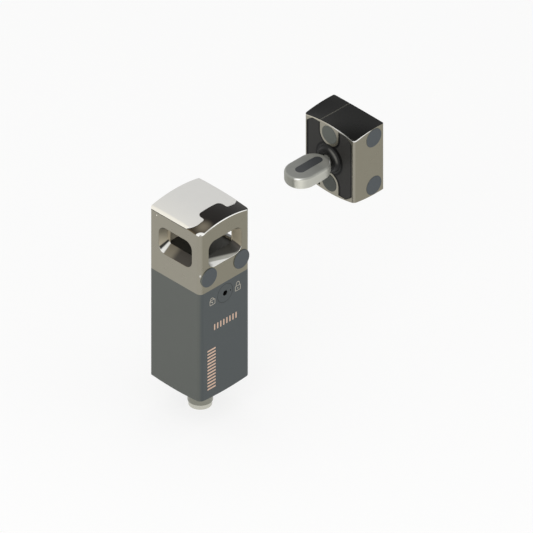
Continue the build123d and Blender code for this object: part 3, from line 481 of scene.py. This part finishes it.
def give(piece, finish, body):
    """Dresses a new piece and lets it ride on its body."""
    piece.data.materials.clear()
    piece.data.materials.append(finish.material)
    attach(piece, body)


def thicken(piece, thickness):
    """Gives a flat sheet its thickness, outwards along its normal."""
    bpy.ops.object.mode_set(mode="OBJECT")
    wall = piece.modifiers.new("thickness", "SOLIDIFY")
    wall.thickness = thickness
    wall.offset = 1.0
    bpy.ops.object.modifier_apply(modifier=wall.name)


def on_front(piece, x, z):
    """Stands a flat piece, drawn in X and Y, against the body's front at x and z."""
    piece.rotation_euler = (math.pi / 2, 0, 0)
    piece.location = (x, FRONT_Y * MM, z)


def join(pieces, name):
    """Joins pieces into the first one."""
    bpy.ops.object.select_all(action="DESELECT")
    for piece in pieces:
        piece.select_set(True)
    bpy.context.view_layer.objects.active = pieces[0]
    bpy.ops.object.join()
    pieces[0].name = name
    pieces[0].data.name = name
    return pieces[0]


def twin(piece, name, shift):
    """Copy of a finished piece with its own mesh, moved by a shift."""
    copy = piece.copy()
    copy.data = piece.data.copy()
    copy.name = name
    copy.data.name = name
    bpy.context.collection.objects.link(copy)
    bpy.ops.object.select_all(action="DESELECT")
    copy.select_set(True)
    bpy.context.view_layer.objects.active = copy
    edit()
    bpy.ops.transform.translate(value=shift)
    bpy.ops.object.mode_set(mode="OBJECT")
    return copy


def rounded_bar(name, width, height, corner):
    """Flat bar with rounded corners, drawn in X and Y."""
    bar = start_object(bpy.ops.mesh.primitive_plane_add, name, size=1)
    edit()
    bpy.ops.transform.resize(value=(width, height, 1), center_override=(0, 0, 0))
    bpy.ops.mesh.bevel(offset=corner, segments=4, affect="VERTICES")
    return bar


def padlock_case(size):
    """Outline of a padlock's case, drawn in X and Y with its keyhole."""
    stroke = size.sign_stroke
    case = rounded_bar("padlock_case", size.sign_width, size.sign_height, 0.12 * size.sign_width)
    bpy.ops.mesh.inset(thickness=stroke)
    bpy.ops.mesh.delete(type="FACE")
    bpy.ops.object.mode_set(mode="OBJECT")
    hole = start_object(
        bpy.ops.mesh.primitive_circle_add, "keyhole", vertices=20, radius=stroke, fill_type="NGON")
    edit()
    pick(hole, "vertices", lambda v: v.co.y < -0.8 * stroke)
    bpy.ops.mesh.extrude_region_move(TRANSFORM_OT_translate={"value": (0, -stroke, 0)})
    bpy.ops.object.mode_set(mode="OBJECT")
    return [case, hole]


def padlock_shackle(size, lean):
    """Bow of a padlock, drawn in X and Y, turned about its right foot by lean."""
    stroke = size.sign_stroke
    radius = 0.33 * size.sign_width
    foot = size.sign_height / 2
    bow = start_object(
        bpy.ops.mesh.primitive_circle_add, "bow", vertices=40, radius=radius, fill_type="NGON")
    edit()
    bpy.ops.mesh.inset(thickness=stroke)
    bpy.ops.mesh.delete(type="FACE")
    bpy.ops.mesh.select_all(action="SELECT")
    bpy.ops.mesh.bisect(plane_co=(0, 0, 0), plane_no=(0, 1, 0), clear_inner=True)
    pick(bow, "edges", lambda e: all(abs(bow.data.vertices[v].co.y) < 1e-7 for v in e.vertices))
    bpy.ops.mesh.extrude_region_move(TRANSFORM_OT_translate={"value": (0, -0.3 * size.sign_width, 0)})
    bpy.ops.mesh.select_all(action="SELECT")
    bpy.ops.transform.translate(value=(0, foot + 0.28 * size.sign_width, 0))
    if lean:
        bpy.ops.transform.rotate(value=-lean, orient_axis="Z", center_override=(radius, foot, 0))
    bpy.ops.object.mode_set(mode="OBJECT")
    return bow


def head_outside(finish, x, y, z, up):
    """Colour of the head's polished outside, with painted reflections, painted glints and a painted
    dark patch at its front left corner.
    """
    c = colours()
    from_left = x - HEAD_LOW.x
    from_front = y - FRONT_Y
    corner = finish.radius(from_left, from_front)
    # Painted reflections: a warm brown lightening behind the corner, a white glint round it, a dark
    # patch at the very corner and a glint spot beside the plug.
    warm_reflection_spot = finish.radius(from_left - 6.8, from_front - 4.2)
    top = finish.rise(up, 0.3, 0.5) * finish.rise(z, PASSAGE_Z + 12, PASSAGE_Z + 13)
    corner_glint = finish.rise(corner, 1.5, 1.1) * finish.rise(abs(z - CORNER_GLINT_Z), 0.9, 0.5)
    warm_reflection = finish.rise(warm_reflection_spot, 7.0, 0.5) * top
    outer = finish.mix(warm_reflection, painted_sky_reflection(finish), tone(116, 109, 95))
    outer = finish.mix(finish.rise(corner, 3.9, 3.4) * top, outer, c.steel_painted_glint)
    outer = finish.mix(finish.rise(corner, 1.9, 1.5) * top, outer, tone(84, 79, 67))
    return finish.mix(corner_glint, outer, c.steel_painted_glint)


def head_mouths(finish, x, y, z):
    """Masks of the front mouth and of all that lies inside the front and left mouths."""
    from_left = x - HEAD_LOW.x
    from_front = y - FRONT_Y
    width, height = MOUTH_HALF_WIDTH, MOUTH_HALF_HEIGHT
    low = finish.rise(abs(z - PASSAGE_Z), height, height - 0.3)
    front = finish.rise(abs(x), width, width - 0.3) * finish.rise(from_front, 0.02, 0.2)
    side = finish.rise(abs(y - AXIS_Y), width, width - 0.3) * finish.rise(from_left, 0.02, 0.2)
    side = side * finish.rise(x, HEAD_HIGH.x - 0.02, HEAD_HIGH.x - 0.2)
    return front, finish.greater(front, side) * low


def head_inside(finish, x, y, z, outward, front_mouth):
    """Colour inside the mouths: painted reflections on the walls and slopes, and painted shade that
    darkens inwards.
    """
    c = colours()
    out_left, out_front, up = outward
    # Painted reflections and shade: the front slope goes from a glint to grey to dark behind a painted
    # shadow line.
    shadow = y - FRONT_Y + 0.22 * x
    front_slope = finish.mix(finish.rise(shadow, 0.6, 1.2), c.steel_painted_glint, tone(172, 171, 163))
    front_slope = finish.mix(finish.rise(shadow, 2.2, 3.4), front_slope, tone(44, 43, 39))
    side_slope = finish.mix(
        finish.rise(y, AXIS_Y, AXIS_Y + 5), tone(58, 53, 46), tone(128, 121, 104))
    back_wall = finish.mix(
        finish.rise(z, PASSAGE_Z + 7, PASSAGE_Z - 4), tone(116, 111, 97), tone(190, 182, 162))
    # Painted shade deep in the passages, darker behind the front mouth.
    inner = finish.mix(front_mouth, c.steel_chamber_shade, tone(58, 57, 50))

    sloped = finish.rise(up, 0.25, 0.4)
    glint_mask = finish.rise(y, AXIS_Y + 5, AXIS_Y + 6) * finish.rise(up, 0.55, 0.7)
    # Painted reflections on the walls and slopes, and a painted glint in the left mouth's back corner.
    layers = (
        (finish.rise(out_front, 0.5, 0.8), back_wall),
        (finish.rise(out_left, 0.5, 0.8), tone(166, 157, 136)),
        (finish.rise(out_left, 0.4, 0.6) * sloped, side_slope),
        (finish.rise(out_front, 0.4, 0.6) * sloped, front_slope),
        (finish.rise(out_front, 0.15, 0.3) * glint_mask, c.steel_painted_glint),
    )
    for mask, colour in layers:
        inner = finish.mix(mask, inner, colour)
    return inner


def head_steel():
    """Polished steel outside with painted reflections, and duller steel inside the head's passages
    with painted reflections and painted shade that darkens inwards.
    """
    finish = Finish("head_steel")
    x, y, z = finish.place()
    outward = finish.outward()
    mottle = finish.noise(5.0, 3.0)
    grain = finish.noise(0.5, 2.0)
    front_mouth, inside = head_mouths(finish, x, y, z)
    outer = head_outside(finish, x, y, z, outward[2])
    inner = head_inside(finish, x, y, z, outward, front_mouth)
    amount = 0.95 + 0.07 * mottle + 0.04 * grain
    return finish.set(
        Base_Color=finish.shade(finish.mix(inside, outer, inner), amount),
        Metallic=1.0 - 0.75 * inside,
        Roughness=0.24 + 0.1 * mottle + 0.2 * inside,
        Normal=finish.bump(grain, 0.12, 0.01),
    )


def block_steel():
    """Polished steel with painted highlights along its arched edges, a painted dark reflection on top,
    and an engraved line on top painted lighter as a highlight.
    """
    c = colours()
    finish = polished_steel("block_steel")
    base = finish.base()
    x, y, z = finish.place()
    out_left, out_front, up = finish.outward()
    beside = y - AXIS_Y
    depth = x - BLOCK_LOW.x
    half_width = (BLOCK_HIGH.y - BLOCK_LOW.y) / 2
    shoulder = BLOCK_HIGH.z - FACE_DROP
    bow = FACE_DROP / half_width ** 2
    # Painted highlights along the upper edges of the face and of the sides.
    face_edge = finish.rise(z + bow * beside * beside, BLOCK_HIGH.z - 0.9, BLOCK_HIGH.z - 0.5)
    face_edge = face_edge * finish.rise(out_left, 0.6, 0.8)
    climb = z - SIDE_RISE * finish.rise(depth, 0, 12)
    side_edge = finish.rise(climb, shoulder - 0.7, shoulder - 0.4)
    side_edge = side_edge * finish.rise(out_front, 0.6, 0.8) * finish.rise(depth, 15, 11)
    edge_highlight = finish.mix(finish.rise(beside, 4, -8), tone(188, 183, 168), c.steel_painted_glint)
    # Painted dark reflection on the top, then the painted edge highlights.
    painted_reflection = finish.mix(finish.rise(up, 0.92, 0.99), base, tone(26, 26, 25))
    painted_reflection = finish.mix(face_edge, painted_reflection, edge_highlight)
    painted_reflection = finish.mix(side_edge, painted_reflection, c.steel_painted_glint)
    # The engraved line is painted lighter, as a highlight in its groove.
    engraved_highlight = finish.rise(abs(beside - RULE_SIDE), 0.34, 0.2) * finish.rise(up, 0.0, 0.3)
    return finish.set(Base_Color=finish.mix(engraved_highlight, painted_reflection, tone(112, 111, 105)))


def face_plates():
    """Dark plastic of the actuator's face, with painted shade in the seams round each plate."""
    finish = plastic("face_plate_plastic", colours().insert, 0.48, 0.25, 0.012)
    base = finish.base()
    _, y, z = finish.place()
    beside, height = abs(y - AXIS_Y), abs(z - PASSAGE_Z)
    boss = finish.radius(beside, finish.greater(PLUG_RISE - height, 0.0))
    socket = finish.radius(beside, height)
    # Painted shade: a near-black band along each plate's seams with the plug bosses, the plate's ends
    # and the socket.
    seam_shade = finish.greater(
        finish.rise(boss, PLUG_BOSS_RADIUS + SEAM_SHADE_WIDTH, PLUG_BOSS_RADIUS + SEAM_SHADE_WIDTH - 0.3),
        finish.rise(beside, PLATE_REACH - SEAM_SHADE_WIDTH, PLATE_REACH - SEAM_SHADE_WIDTH + 0.3),
    )
    seam_shade = finish.greater(seam_shade, finish.rise(socket, CAP_RADIUS + SEAM_SHADE_WIDTH, CAP_RADIUS + SEAM_SHADE_WIDTH - 0.3))
    return finish.set(Base_Color=finish.mix(seam_shade, base, tone(7, 7, 7)))


class INTERLOCK_OT_steel(bpy.types.Operator):
    """Polish the head and the actuator's block"""

    bl_idname = "interlock.steel"
    bl_label = "Steel"

    def execute(self, context):
        dress(head_steel(), "head_housing", "head_base")
        dress(block_steel(), "actuator_block")
        pins = turned_metal("pin_steel", tone(226, 222, 210), 0.2, 0.2, 0)
        dress(pins, "lens_pins")
        return {"FINISHED"}


class INTERLOCK_OT_lens(bpy.types.Operator):
    """Light-scattering white plastic for the status lens, with its left-facing side painted paler as
    lit and a painted highlight on its front brim
    """

    bl_idname = "interlock.lens"
    bl_label = "Status lens"

    def execute(self, context):
        c = colours()
        finish = Finish("lens_plastic", IOR=1.49)
        facing = finish.facing()
        # Painted light: surfaces facing left paler, and a painted highlight on the brim facing the
        # front.
        side = finish.rise(finish.dot(facing, (-1, 0, 0)), 0.0, 0.7)
        brim_highlight = finish.rise(finish.dot(facing, (0, -1, 0)), 0.2, 0.6)
        cloud = finish.noise(14.0, 2.0)
        grain = finish.noise(0.3, 2.0)
        base = finish.mix(side, c.lens, c.lens_lit_side)
        base = finish.mix(brim_highlight, base, (0.95, 0.95, 0.93))
        finish.set(
            Base_Color=finish.shade(base, 0.97 + 0.04 * cloud),
            Roughness=0.32 + 0.08 * cloud,
            Normal=finish.bump(grain, 0.1, 0.01),
            Coat_Weight=0.15,
        )
        dress(finish, "status_lens")
        return {"FINISHED"}


class INTERLOCK_OT_body(bpy.types.Operator):
    """Smooth dark grey moulding for the body and the release's disc, with lit and shaded sides and
    painted shade in the release's socket
    """

    bl_idname = "interlock.body"
    bl_label = "Body"

    def execute(self, context):
        c = colours()
        finish = plastic("body_moulding", c.body_left, 0.42, 0.3, 0.008, c.body_front)
        dress(finish, "body_housing")

        disc = Finish("release_moulding", Specular_IOR_Level=0.2)
        x, y, z = disc.place()
        away = disc.radius(x, z - RELEASE_Z)
        rings = disc.lines(away, 1.1)
        # Painted shade: near black inside the release's socket, behind the front.
        socket = disc.rise(y, FRONT_Y + 0.02, FRONT_Y + 0.2)
        rim = disc.rise(away, 5.7, 6.0)
        grain = disc.noise(0.3, 2.0)
        base = disc.shade(c.body_front, 0.95 + 0.02 * rings + 0.05 * grain)
        base = disc.mix(socket, base, (0.004, 0.004, 0.004))
        base = disc.mix(rim, base, tone(52, 55, 56))
        disc.set(
            Base_Color=base,
            Roughness=0.4 + 0.1 * grain,
            Normal=disc.bump(rings, 0.1, 0.02),
        )
        dress(disc, "release_disc")
        return {"FINISHED"}


class INTERLOCK_OT_plugs(bpy.types.Operator):
    """Blue-grey plastic for the plugs, with lit and shaded sides painted in and painted shadow on the
    lower face plugs, and resin for the transponder
    """

    bl_idname = "interlock.plugs"
    bl_label = "Plugs"

    def execute(self, context):
        c = colours()
        # Painted light: lit left-facing and shaded front-facing sides.
        finish = plastic("plug_plastic", c.plug_lit_left, 0.45, 0.35, 0.01, c.plug_shaded_front)
        dress(finish, "fixing_plugs", "side_plugs")

        faced = plastic("face_plug_plastic", c.plug_lit_left, 0.45, 0.35, 0.01, c.plug_shaded_front)
        _, _, z = faced.place()
        # Painted shadow: the face plugs below the tongue's axis darker, as under the tongue.
        tongue_shadow = faced.rise(z, PASSAGE_Z, PASSAGE_Z - 6)
        faced.set(Base_Color=faced.shade(faced.base(), 1.0 - 0.3 * tongue_shadow))
        dress(faced, "front_plugs")

        resin = plastic("transponder_resin", tone(62, 64, 66), 0.4, 0.5, 0.006)
        dress(resin, "transponder")
        return {"FINISHED"}


class INTERLOCK_OT_actuator_face(bpy.types.Operator):
    """Dark plates with painted shade in their seams, black socket ring with a painted highlight on its
    crest, and liner of the actuator
    """

    bl_idname = "interlock.actuator_face"
    bl_label = "Actuator face"

    def execute(self, context):
        dress(face_plates(), "face_inserts")

        ring = Finish("socket_ring_plastic", Specular_IOR_Level=0.25)
        x, y, z = ring.place()
        away = ring.radius(y - AXIS_Y, z - PASSAGE_Z)
        # Painted highlight on the lit upper part of the ring's crest.
        crest = ring.rise(away, 7.3, 7.8) * ring.rise(away, 8.4, 7.9)
        lit = ring.rise(z - y, PASSAGE_Z - AXIS_Y + 7.6, PASSAGE_Z - AXIS_Y + 10.6)
        grain = ring.noise(0.3, 2.0)
        black = ring.shade(colours().black, 0.9 + 0.2 * grain)
        ring.set(
            Base_Color=ring.mix(crest * lit, black, tone(98, 97, 92)),
            Roughness=0.3 + 0.1 * grain,
            Normal=ring.bump(grain, 0.15, 0.008),
        )
        dress(ring, "socket_cap")
        dress(plastic("liner_plastic", tone(38, 38, 38), 0.4), "ball_liner")
        return {"FINISHED"}


class INTERLOCK_OT_tongue(bpy.types.Operator):
    """Ground steel for the tongue, with painted reflections that make its sides bright, a painted
    highlight on its brow and its top painted lighter near the block
    """

    bl_idname = "interlock.tongue"
    bl_label = "Tongue"

    def execute(self, context):
        c = colours()
        finish = Finish("tongue_steel")
        _, front, up = finish.outward()
        x, _, _ = finish.place()
        streaks = finish.noise(0.5, 3.0, (0.06, 1, 1))
        cloud = finish.noise(6.0, 2.0)
        # Painted reflections on the sides, and a painted highlight on the rounded brow.
        side = finish.mix(finish.rise(front, 0.0, 0.2), tone(150, 150, 141), tone(158, 158, 149))
        side = finish.mix(finish.rise(front, 0.28, 0.45), side, tone(220, 219, 208))
        side = finish.mix(finish.rise(front, 0.65, 0.95), side, c.tongue_side_reflection)
        brow = finish.mix(finish.rise(up, 0.2, 0.6), side, tone(154, 155, 148))
        glint_mask = finish.rise(abs(front - 0.42), 0.2, 0.05) * finish.rise(abs(up - 0.6), 0.25, 0.1)
        brow = finish.mix(glint_mask, brow, tone(252, 252, 248))
        # Painted light: the top painted lighter near the block, against the shade there.
        neck_lightening = finish.rise(x, BLOCK_LOW.x - 15, BLOCK_LOW.x - 8)
        flat = finish.mix(neck_lightening, c.tongue, tone(146, 146, 139))
        top = finish.mix(finish.rise(up, 0.7, 0.98), brow, flat)
        finish.set(
            Base_Color=finish.shade(top, 0.92 + 0.08 * streaks + 0.06 * cloud),
            Metallic=0.4 - 0.25 * finish.rise(up, 0.3, 0.9),
            Roughness=0.36 + 0.12 * cloud,
            Normal=finish.bump(streaks, 0.15, 0.01),
        )
        dress(finish, "tongue")
        return {"FINISHED"}


class INTERLOCK_OT_connector(bpy.types.Operator):
    """Nickel-plated shell, black carrier and gold contacts"""

    bl_idname = "interlock.connector"
    bl_label = "Connector"

    def execute(self, context):
        c = colours()
        finish = Finish("connector_nickel", Metallic=1.0)
        x, y, z = finish.place()
        nose = finish.rise(z, SHELL_LOW.z + 3.15, SHELL_LOW.z + 3.05)
        lines = finish.lines(z, 0.5)
        cloud = finish.noise(4.0, 2.0)
        base = finish.mix(nose, c.nickel, c.nickel_nose)
        finish.set(
            Base_Color=finish.shade(base, 0.93 + 0.03 * lines + 0.08 * cloud),
            Roughness=0.24 + 0.08 * cloud,
            Normal=finish.bump(lines, 0.1, 0.02),
        )
        dress(finish, "connector_shell", "connector_nut")
        dress(plastic("carrier_plastic", tone(32, 32, 32), 0.45), "connector_insert")
        dress(turned_metal("contact_gold", tone(214, 176, 96), 0.2, 0.2), "connector_contacts")
        return {"FINISHED"}


class INTERLOCK_OT_seals(bpy.types.Operator):
    """Black rubber for the seals"""

    bl_idname = "interlock.seals"
    bl_label = "Seals"

    def execute(self, context):
        rubber = plastic("seal_rubber", colours().rubber, 0.62, 0.4, 0.02)
        dress(
            rubber, "lens_seal", "head_gasket", "bolt_wiper", "release_seal", "connector_seal",
            "centring_pad",
        )
        return {"FINISHED"}


class INTERLOCK_OT_lock_works(bpy.types.Operator):
    """Finishes of the lock bolt and its solenoid"""

    bl_idname = "interlock.lock_works"
    bl_label = "Lock works"

    def execute(self, context):
        bolt = turned_metal("bolt_steel", tone(188, 188, 184), 0.18, 0.12)
        dress(bolt, "lock_bolt", "release_crank", "yoke_standoffs")
        dress(turned_metal("spring_wire", tone(170, 170, 168), 0.25, 0.3), "lock_spring")
        dress(turned_metal("bush_bronze", tone(176, 142, 92), 0.32, 0.2), "bolt_bush")
        dress(turned_metal("nickel_iron", tone(150, 150, 148), 0.35, 0.25), "plunger", "solenoid_yoke")
        dress(plastic("spool_plastic", tone(36, 36, 37), 0.45), "coil_bobbin")

        wire = Finish("winding_wire", Metallic=0.7)
        x, y, z = wire.place()
        turns = wire.lines(z, 0.35)
        cloud = wire.noise(2.0, 2.0)
        wire.set(
            Base_Color=wire.shade(tone(186, 104, 60), 0.82 + 0.16 * turns + 0.06 * cloud),
            Roughness=0.3 + 0.1 * cloud,
            Normal=wire.bump(turns, 0.6, 0.06),
        )
        dress(wire, "coil_winding", "antenna_coil")
        return {"FINISHED"}


class INTERLOCK_OT_electronics(bpy.types.Operator):
    """Finishes of the boards, their chips, the status lights and the reader window"""

    bl_idname = "interlock.electronics"
    bl_label = "Electronics"

    def execute(self, context):
        board = Finish("board_green")
        x, y, z = board.place()
        across = board.sine(x * 2.6)
        down = board.sine((z + y) * 1.9)
        tracks = board.rise(abs(across * down), 0.52, 0.58) * board.rise(board.noise(4.0), 0.4, 0.5)
        board.set(
            Base_Color=board.mix(tracks, tone(24, 84, 48), tone(58, 128, 76)),
            Roughness=0.32 + 0.1 * tracks,
            Normal=board.bump(tracks, 0.4, 0.04),
        )
        dress(board, "led_board", "antenna_board", "main_board")
        dress(plastic("chip_plastic", tone(34, 34, 36), 0.5, 0.2), "board_chips", "board_spacer")
        dress(plastic("light_resin", tone(236, 232, 206), 0.2, 1.0, 0.004), "status_leds")
        dress(plastic("window_plastic", tone(30, 32, 34), 0.3, 0.5), "reader_window")
        return {"FINISHED"}


class INTERLOCK_OT_neck_boot(bpy.types.Operator):
    """Ribbed rubber boot that closes the socket round the tongue's neck"""

    bl_idname = "interlock.neck_boot"
    bl_label = "Neck boot"

    def execute(self, context):
        size = sizes()
        outside, inside, rib = size.boot_outside, size.boot_inside, size.boot_rib
        cap_end = (BLOCK_LOW.x - CAP_LOW.x) * MM
        steps = 6 * size.boot_ribs
        lap = 0.3 * MM
        profile = [(outside, cap_end - 0.02 * MM)]
        for step in range(steps + 1):
            share = step / steps
            wave = 0.5 - 0.5 * math.cos(2 * math.pi * size.boot_ribs * share)
            dip = lap * max(0.0, (share - 0.55) / 0.45)
            profile.append((outside + (inside - outside) * share, cap_end + rib * wave - dip))
        profile += [(inside, cap_end - 1.5 * MM), (4.7 * MM, cap_end - 1.5 * MM)]
        profile += [(4.7 * MM, cap_end - 0.02 * MM)]

        boot = start_object(
            bpy.ops.mesh.primitive_circle_add, "neck_boot", vertices=72,
            radius=profile[0][0], location=(0, 0, 0))
        edit()
        bpy.ops.transform.translate(value=(0, 0, profile[0][1]))
        for (radius, height), (next_radius, next_height) in zip(profile, profile[1:] + profile[:1]):
            bpy.ops.mesh.extrude_region_move(
                TRANSFORM_OT_translate={"value": (0, 0, next_height - height)})
            ratio = next_radius / radius
            bpy.ops.transform.resize(value=(ratio, ratio, 1), center_override=(0, 0, next_height))
        bpy.ops.object.mode_set(mode="OBJECT")
        boot.rotation_euler = (0, -math.pi / 2, 0)
        boot.location = Vector((BLOCK_LOW.x, AXIS_Y, PASSAGE_Z)) * MM
        settle(boot, 40)
        rubber = plastic("boot_rubber", colours().rubber, 0.5, 0.4, 0.01)
        give(boot, rubber, "actuator")
        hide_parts("socket_boot")
        return {"FINISHED"}


class INTERLOCK_OT_release_signs(bpy.types.Operator):
    """Open and closed padlock beside the release"""

    bl_idname = "interlock.release_signs"
    bl_label = "Release signs"

    def execute(self, context):
        size = sizes()
        ink = plastic("sign_ink", colours().sign, 0.5, 0.4, 0.003)
        for name, side, lean in (("padlock_open", -1, math.radians(38)), ("padlock_closed", 1, 0)):
            lock = join([*padlock_case(size), padlock_shackle(size, lean)], name)
            thicken(lock, size.print_height)
            on_front(lock, side * size.sign_offset, (RELEASE_Z - 1.4) * MM)
            settle(lock)
            give(lock, ink, "switch")
        return {"FINISHED"}


class INTERLOCK_OT_plain_marks(bpy.types.Operator):
    """Plain ticks and a plain scale printed on the body's front"""

    bl_idname = "interlock.plain_marks"
    bl_label = "Plain marks"

    def execute(self, context):
        size = sizes()
        ink = plastic("mark_ink", colours().mark, 0.5, 0.4, 0.003)
        rows = (
            ("tick", size.tick_count, size.tick_width, size.tick_height, (size.tick_pitch, 0, 0),
             (0.15 * MM - 3.5 * size.tick_pitch, -36.7 * MM)),
            ("rung", size.rung_count, size.rung_width, size.rung_height, (0, 0, size.rung_pitch),
             (-10.9 * MM, -77.6 * MM)),
        )
        for name, count, width, height, step, (x, z) in rows:
            first = rounded_bar(f"{name}_0", width, height, 0.3 * min(width, height))
            thicken(first, size.print_height)
            on_front(first, x, z)
            settle(first)
            bars = [first]
            for number in range(1, count):
                bars.append(twin(first, f"{name}_{number}", Vector(step) * number))
            marks = join(bars, f"{name}s")
            give(marks, ink, "switch")
        return {"FINISHED"}


def whiten(tree, shader, kind, share):
    """Mixes white of strength 1 into a shader where the camera, metal or glass sees it."""
    path = tree.nodes.new("ShaderNodeLightPath")
    seen = path.outputs["Is Camera Ray"]
    for ray in ("Is Glossy Ray", "Is Transmission Ray"):
        either = tree.nodes.new("ShaderNodeMath")
        either.operation = "MAXIMUM"
        tree.links.new(seen, either.inputs[0])
        tree.links.new(path.outputs[ray], either.inputs[1])
        seen = either.outputs[0]
    amount = tree.nodes.new("ShaderNodeMath")
    amount.operation = "MULTIPLY"
    amount.inputs[1].default_value = share
    tree.links.new(seen, amount.inputs[0])
    white = tree.nodes.new(kind)
    white.inputs["Color"].default_value = (1, 1, 1, 1)
    white.inputs["Strength"].default_value = 1.0
    choice = tree.nodes.new("ShaderNodeMixShader")
    output = shader.outputs[0].links[0].to_socket
    tree.links.new(amount.outputs[0], choice.inputs[0])
    tree.links.new(shader.outputs[0], choice.inputs[1])
    tree.links.new(white.outputs[0], choice.inputs[2])
    tree.links.new(choice.outputs[0], output)


class INTERLOCK_OT_stage(bpy.types.Operator):
    """Pale floor, soft lamps, even light and the camera"""

    bl_idname = "interlock.stage"
    bl_label = "Stage"

    def execute(self, context):
        c, studio = colours(), context.scene.interlock_studio
        floor = start_object(
            bpy.ops.mesh.primitive_plane_add, "floor", size=studio.floor_size,
            location=(0, 0, (SHELL_LOW.z - 0.3) * MM))
        finish = Finish("floor_paint")
        grain = finish.noise(60.0, 2.0)
        finish.set(Base_Color=finish.shade(c.floor, 0.99 + 0.01 * grain), Roughness=0.9 + 0.05 * grain)
        whiten(finish.tree, finish.shader, "ShaderNodeEmission", studio.whiteness)
        floor.data.materials.append(finish.material)

        target = Vector((51.6, -21.6, -33.8)) * MM
        lamps = (
            ("key_lamp", Vector((-0.8, -0.42, 0.55)), studio.key_power, 0.8),
            ("fill_lamp", Vector((0.35, -0.9, 0.35)), studio.fill_power, 0.9),
        )
        for name, way, power, size in lamps:
            bpy.ops.object.select_all(action="DESELECT")
            bpy.ops.object.light_add(
                type="AREA", location=target + way.normalized(),
                rotation=way.to_track_quat("Z", "Y").to_euler())
            lamp = context.object
            lamp.name = name
            lamp.data.energy = power
            lamp.data.size = size

        world = bpy.data.worlds.new("even_light")
        context.scene.world = world
        world.use_nodes = True
        tree = world.node_tree
        tree.nodes.clear()
        soft = tree.nodes.new("ShaderNodeBackground")
        soft.inputs["Color"].default_value = (1, 1, 1, 1)
        soft.inputs["Strength"].default_value = studio.ambient
        tree.links.new(soft.outputs[0], tree.nodes.new("ShaderNodeOutputWorld").inputs[0])
        whiten(tree, soft, "ShaderNodeBackground", 1.0)

        bpy.ops.object.camera_add(
            location=target + LOOK, rotation=LOOK.to_track_quat("Z", "Y").to_euler())
        camera = context.object
        camera.name = "isometric_camera"
        camera.data.type = "ORTHO"
        camera.data.ortho_scale = studio.view_width
        camera.data.clip_end = 20
        context.scene.camera = camera
        context.scene.view_settings.view_transform = "Standard"
        return {"FINISHED"}


PIECES = (
    INTERLOCK_OT_steel,
    INTERLOCK_OT_lens,
    INTERLOCK_OT_body,
    INTERLOCK_OT_plugs,
    INTERLOCK_OT_actuator_face,
    INTERLOCK_OT_tongue,
    INTERLOCK_OT_connector,
    INTERLOCK_OT_seals,
    INTERLOCK_OT_lock_works,
    INTERLOCK_OT_electronics,
    INTERLOCK_OT_neck_boot,
    INTERLOCK_OT_release_signs,
    INTERLOCK_OT_plain_marks,
    INTERLOCK_OT_stage,
)


class INTERLOCK_PT_sidebar(bpy.types.Panel):
    """Lists the pieces, the stage and their settings"""

    bl_idname = "INTERLOCK_PT_sidebar"
    bl_label = "Interlock switch"
    bl_space_type = "VIEW_3D"
    bl_region_type = "UI"
    bl_category = "Interlock"

    def draw(self, context):
        for piece in PIECES:
            self.layout.operator(piece.bl_idname)
        for group in ("interlock_colours", "interlock_sizes", "interlock_studio"):
            settings = getattr(context.scene, group)
            box = self.layout.box()
            for name in settings.__annotations__:
                box.prop(settings, name)


CLASSES = (InterlockColours, InterlockSizes, InterlockStudio, *PIECES, INTERLOCK_PT_sidebar)


def register():
    for kind in CLASSES:
        bpy.utils.register_class(kind)
    bpy.types.Scene.interlock_colours = PointerProperty(type=InterlockColours)
    bpy.types.Scene.interlock_sizes = PointerProperty(type=InterlockSizes)
    bpy.types.Scene.interlock_studio = PointerProperty(type=InterlockStudio)


def unregister():
    for name in ("interlock_studio", "interlock_sizes", "interlock_colours"):
        delattr(bpy.types.Scene, name)
    for kind in reversed(CLASSES):
        bpy.utils.unregister_class(kind)


def main():
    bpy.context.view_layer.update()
    register()
    for piece in PIECES:
        group, name = piece.bl_idname.split(".")
        getattr(getattr(bpy.ops, group), name)()


if __name__ == "__main__":
    main()
